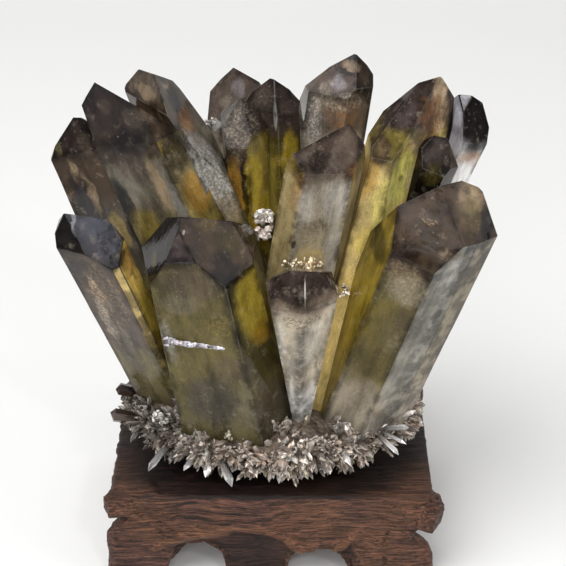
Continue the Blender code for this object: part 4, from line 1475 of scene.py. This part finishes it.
def wood_material():
    """Dark reddish-brown hardwood with fine streaks of grain along the stand, with a painted shadow under
    the crust, a painted highlight on the carved lip and painted shade in what is sunk.
    """
    made, nodes, shader = new_material("carved_wood", Specular_IOR_Level=WOOD_GLOSS)
    place = local_millimetres(nodes)
    bent = use(nodes, sway(), Place=place, Scale=0.035, Amount=7.0)["Place"]
    broad_streaks = nodes.vector("MULTIPLY", bent, (0.03, 0.9, 1.0))
    grain = nodes.noise(broad_streaks, 0.9, detail=6.0, rough=0.75)
    fine_streaks = nodes.vector("MULTIPLY", bent, (0.05, 1.0, 1.1))
    fine = nodes.noise(fine_streaks, 1.3, detail=5.0, rough=0.8)
    colour = nodes.mix(nodes.ramp(grain, 0.40, 0.58), rgba(WOOD_DARK), rgba(WOOD_RED))
    warm = nodes.ramp(nodes.noise(place, 0.03, detail=4.0), 0.45, 0.62)
    colour = nodes.mix(nodes.math("MULTIPLY", warm, 0.4), colour, rgba(WOOD_ORANGE))
    # Painted highlight on the carved lip, and painted shade in the sunk panel and grooves.
    raised = attribute(nodes, "raised")["Fac"]
    colour = nodes.mix(nodes.math("MULTIPLY", raised, 0.55), colour, rgba(WOOD_ORANGE))
    colour = nodes.mix(attribute(nodes, "sunk")["Fac"], colour, rgba(WOOD_DARK))
    # Painted shadow of the crust on the top face: dark inside an oval round the middle, lighter outside it.
    from_crust = nodes.length(nodes.vector("MULTIPLY", place, (1 / CRUST_SHADOW_X, 1 / CRUST_SHADOW_Y, 0.0)))
    painted_crust_shadow = nodes.ramp(from_crust, *CRUST_SHADOW_SPAN, *CRUST_SHADOW_SHADES)
    on_top = nodes.ramp(part_of(nodes, place, "Z"), *TOP_FACE)
    streaks = nodes.math("MULTIPLY_ADD", nodes.math("SUBTRACT", fine, 0.5), 8.0, 0.95)
    shade = nodes.math("MULTIPLY", nodes.math("MAXIMUM", streaks, 0.2), nodes.blend(on_top, 1.0, painted_crust_shadow))
    nodes.put(shader.inputs["Base Color"], nodes.vector("SCALE", colour, shade))
    nodes.put(shader.inputs["Roughness"], nodes.math("MULTIPLY_ADD", fine, 0.35, 0.3))
    height = nodes.math("MULTIPLY_ADD", fine, 0.7, grain)
    bump(nodes, shader, height, strength=0.7, distance=0.6 * MM)
    return made


def within(value):
    """The value, kept between 0 and 1."""
    return max(0.0, min(1.0, value))


def distance_to_line(x, z, line):
    """How far a place on the front lies from a line of (x, z) points, all in millimetres."""
    nearest = math.inf
    for (x0, z0), (x1, z1) in zip(line, line[1:]):
        run, rise = x1 - x0, z1 - z0
        along = within(((x - x0) * run + (z - z0) * rise) / (run ** 2 + rise ** 2))
        nearest = min(nearest, math.hypot(x - x0 - along * run, z - z0 - along * rise))
    return nearest


def carved_height(x, z):
    """The carving on the apron as (raised, sunk), each 0 to 1: a rolled lip, and what lies below it."""
    lip = distance_to_line(x, z, LIP_LINE)
    raised = within((LIP_WIDTH - lip) / LIP_SLOPE)
    crest = 0.0
    for (x0, z0), (x1, z1) in zip(LIP_LINE, LIP_LINE[1:]):
        if x0 <= x < x1:
            crest = z0 + (z1 - z0) * (x - x0) / (x1 - x0)
    start, end = PANEL
    sunk = within((crest - LIP_WIDTH - z) / LIP_SLOPE)
    sunk *= within((x - start) / PANEL_EDGE) * within((end - x) / PANEL_EDGE)
    groove = min(distance_to_line(x, z, line) for line in GROOVES)
    return raised, max(sunk, GROOVE_DEPTH * within((GROOVE_WIDTH - groove) / GROOVE_WIDTH))


def arch_roof(x, z):
    """How much of the drop a place near an arch takes: 1 at the roof line, 0 from ARCH_FADE above it."""
    middle, half, top = ARCH_LEFT if x < 0 else ARCH_RIGHT
    aside = within((half - abs(x - middle)) / ARCH_SIDE_FADE + 1)
    return aside * within(1 - (z - top) / ARCH_FADE)


def end_shift(x, y, z):
    """How far a place near either end moves out, in millimetres.

    It moves in at the nick and at the hollow between the legs, and out at the legs.
    """
    top, reach, deep, flare = END_LEFT if x < 0 else END_RIGHT
    nick = within((top - z) / NICK_TOP_FADE) * within((z - top + reach) / (reach - NICK_STRETCH)) * deep
    hollow = within((HOLLOW_TOP - z) / HOLLOW_TOP_FADE) * HOLLOW_DEPTH
    hollow *= within((HOLLOW_HALF - abs(y)) / HOLLOW_SIDE_FADE)
    legs = within((top - LEG_TOP - z) / LEG_TOP_FADE) * flare
    legs *= within((abs(y) - HOLLOW_HALF + LEG_SIDE_FADE) / LEG_SIDE_FADE)
    return (legs - max(nick, hollow)) * within((abs(x) - END_START) / END_FADE)


def wave(place, stretch, often, high):
    """One wave of noise at a place, in millimetres."""
    stretched = [along * factor for along, factor in zip(place, stretch)]
    return noise.noise(Vector(stretched) * often) * high


def worked_height(place, raised, sunk):
    """How far a place moves out of the surface, in millimetres: grain, knocks and what is carved."""
    x, _, z = place
    height = wave(place, *GRAIN_WAVE) + wave(place, *KNOCK_WAVE)
    if abs(x) > KNOB_START and z > KNOB_FLOOR:
        height += wave(place, *KNOB_WAVE)
    height += raised * LIP_HEIGHT - sunk * CARVE_DEPTH
    lowest, highest = WORKED_HEIGHTS
    return height if lowest < z < highest else height * FLAT_SHARE


def arch_drop(x, y, z, facing_up):
    """How far a place near a front arch comes down, in millimetres. The top face stays where it is."""
    at_front = within((abs(y) - APRON_FACE + ARCH_INSIDE) / ARCH_INSIDE_FADE)
    above_feet = within((z - ARCH_FOOT) / ARCH_FOOT_FADE)
    return ARCH_DROP * arch_roof(x, z) * within(1.0 - facing_up) * at_front * above_feet


def carve(mesh):
    """Works the stand's surface: its apron front and back, its ends, its arches and its grain.

    The mesh keeps how far each vertex was raised or sunk by the carving, for the wood's colours: a
    painted highlight on the raised lip and painted shade in what is sunk.
    """
    lip_highlight_marks = mesh.attributes.new("raised", "FLOAT", "POINT")
    recess_shade_marks = mesh.attributes.new("sunk", "FLOAT", "POINT")
    normals = [vertex.normal.copy() for vertex in mesh.vertices]
    for vertex, normal in zip(mesh.vertices, normals):
        place = (vertex.co - SHIFT) / MM
        x, y, z = place
        raised = sunk = 0.0
        if abs(y) > APRON_FACE and abs(normal.y) > APRON_FACING:
            raised, sunk = carved_height(x if y < 0 else -x - REAR_SHIFT, z)
        lip_highlight_marks.data[vertex.index].value = raised
        recess_shade_marks.data[vertex.index].value = sunk * RECESS_SHADE_DARKNESS
        vertex.co += normal * worked_height(place, raised, sunk) * MM
        vertex.co.x += end_shift(x, y, z) * math.copysign(MM, x)
        vertex.co.z -= arch_drop(x, y, z, normal.z) * MM


def stump(shape, foot, tip, width):
    """One sawn-off branch: a short tapered block from foot to tip."""
    axis = (Vector(tip) - Vector(foot)) * MM
    turn = axis.to_track_quat("Z", "Y").to_matrix().to_4x4() @ Matrix.Rotation(math.pi / 4, 4, "Z")
    middle = Matrix.Translation((Vector(foot) + Vector(tip)) * MM / 2 + SHIFT)
    bmesh.ops.create_cone(
        shape, cap_ends=True, segments=STUMP_SIDES, radius1=width * STUMP_SPREAD * MM,
        radius2=width * MM, depth=axis.length, matrix=middle @ turn,
    )


def carved_stand():
    """The stand's solid with its branch stumps, smoothed and carved on a surface of its own."""
    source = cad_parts["display_stand"]
    shape = bmesh.new()
    shape.from_mesh(source.data)
    for foot, tip, width in STUMPS:
        stump(shape, foot, tip, width)
    block = bpy.data.meshes.new("carved_stand")
    shape.to_mesh(block)
    shape.free()
    piece = bpy.data.objects.new("carved_stand", block)
    bpy.context.scene.collection.objects.link(piece)
    remesh = piece.modifiers.new("remesh", "REMESH")
    remesh.mode = "VOXEL"
    remesh.voxel_size = STAND_VOXEL
    smooth = piece.modifiers.new("smooth", "SMOOTH")
    smooth.factor = 0.5
    smooth.iterations = STAND_SMOOTHING
    graph = bpy.context.evaluated_depsgraph_get()
    worked = bpy.data.meshes.new_from_object(piece.evaluated_get(graph))
    piece.modifiers.clear()
    piece.data = worked
    worked.materials.clear()
    worked.materials.append(wood_material())
    carve(worked)
    worked.shade_smooth()
    dress(piece, "display_stand")


# ---------------------------------------------------------------- stage, lights and camera


def stage():
    """A pale floor that sweeps up into a backdrop."""
    made = new_material("studio_floor", Base_Color=rgba(FLOOR_COLOUR), Roughness=0.9)[0]
    shape = bmesh.new()
    profile = [(FLOOR_FRONT, 0.0), (BEND_START, 0.0)]
    for step in range(1, BEND_STEPS + 1):
        turn = math.pi / 2 * step / BEND_STEPS
        rise = BEND_RADIUS * (1 - math.cos(turn))
        profile.append((BEND_START + BEND_RADIUS * math.sin(turn), rise))
    profile.append((BEND_START + BEND_RADIUS, BACKDROP_TOP))
    sides = (-FLOOR_HALF, FLOOR_HALF)
    lines = [[shape.verts.new((side, y, z)) for y, z in profile] for side in sides]
    for index in range(len(profile) - 1):
        shape.faces.new((lines[0][index], lines[1][index], lines[1][index + 1], lines[0][index + 1]))
    mesh = bpy.data.meshes.new("studio_floor")
    shape.to_mesh(mesh)
    shape.free()
    mesh.materials.append(made)
    mesh.shade_smooth()
    floor = bpy.data.objects.new("studio_floor", mesh)
    bpy.context.scene.collection.objects.link(floor)


def area_light(name, place, size, power):
    """A square soft light aimed at the middle of the cluster."""
    data = bpy.data.lights.new(name, "AREA")
    data.shape = "SQUARE"
    data.size = size
    data.energy = power
    lamp = bpy.data.objects.new(name, data)
    lamp.location = place
    lamp.rotation_euler = (LIGHTS_AIM - Vector(place)).to_track_quat("-Z", "Y").to_euler()
    bpy.context.scene.collection.objects.link(lamp)


def lights():
    """The soft lights and an even white room."""
    for row in LIGHTS:
        area_light(*row)
    world = bpy.data.worlds.new("studio")
    world.use_nodes = True
    background = world.node_tree.nodes["Background"]
    background.inputs["Color"].default_value = (1, 1, 1, 1)
    background.inputs["Strength"].default_value = ROOM_LIGHT
    bpy.context.scene.world = world


def camera():
    """A camera in front that looks down at the cluster."""
    data = bpy.data.cameras.new("camera")
    data.sensor_width = SENSOR_MM
    data.lens = FOCAL_PIXELS / FRAME_PIXELS * SENSOR_MM
    data.clip_start = 0.01
    placed = bpy.data.objects.new("camera", data)
    placed.location = CAMERA_PLACE + SHIFT
    placed.rotation_euler = (math.pi / 2 - CAMERA_DOWN, 0, 0)
    bpy.context.scene.collection.objects.link(placed)
    bpy.context.scene.camera = placed


def main():
    """Everything, from the stage to the stand. The seed makes the noise the same in each run."""
    noise.seed_set(SEED)
    camera()
    lights()
    stage()
    large_points()
    crust_ground()
    druse()
    carved_stand()
    scene = bpy.context.scene
    scene.view_settings.view_transform = "Standard"
    scene.cycles.use_denoising = True


main()
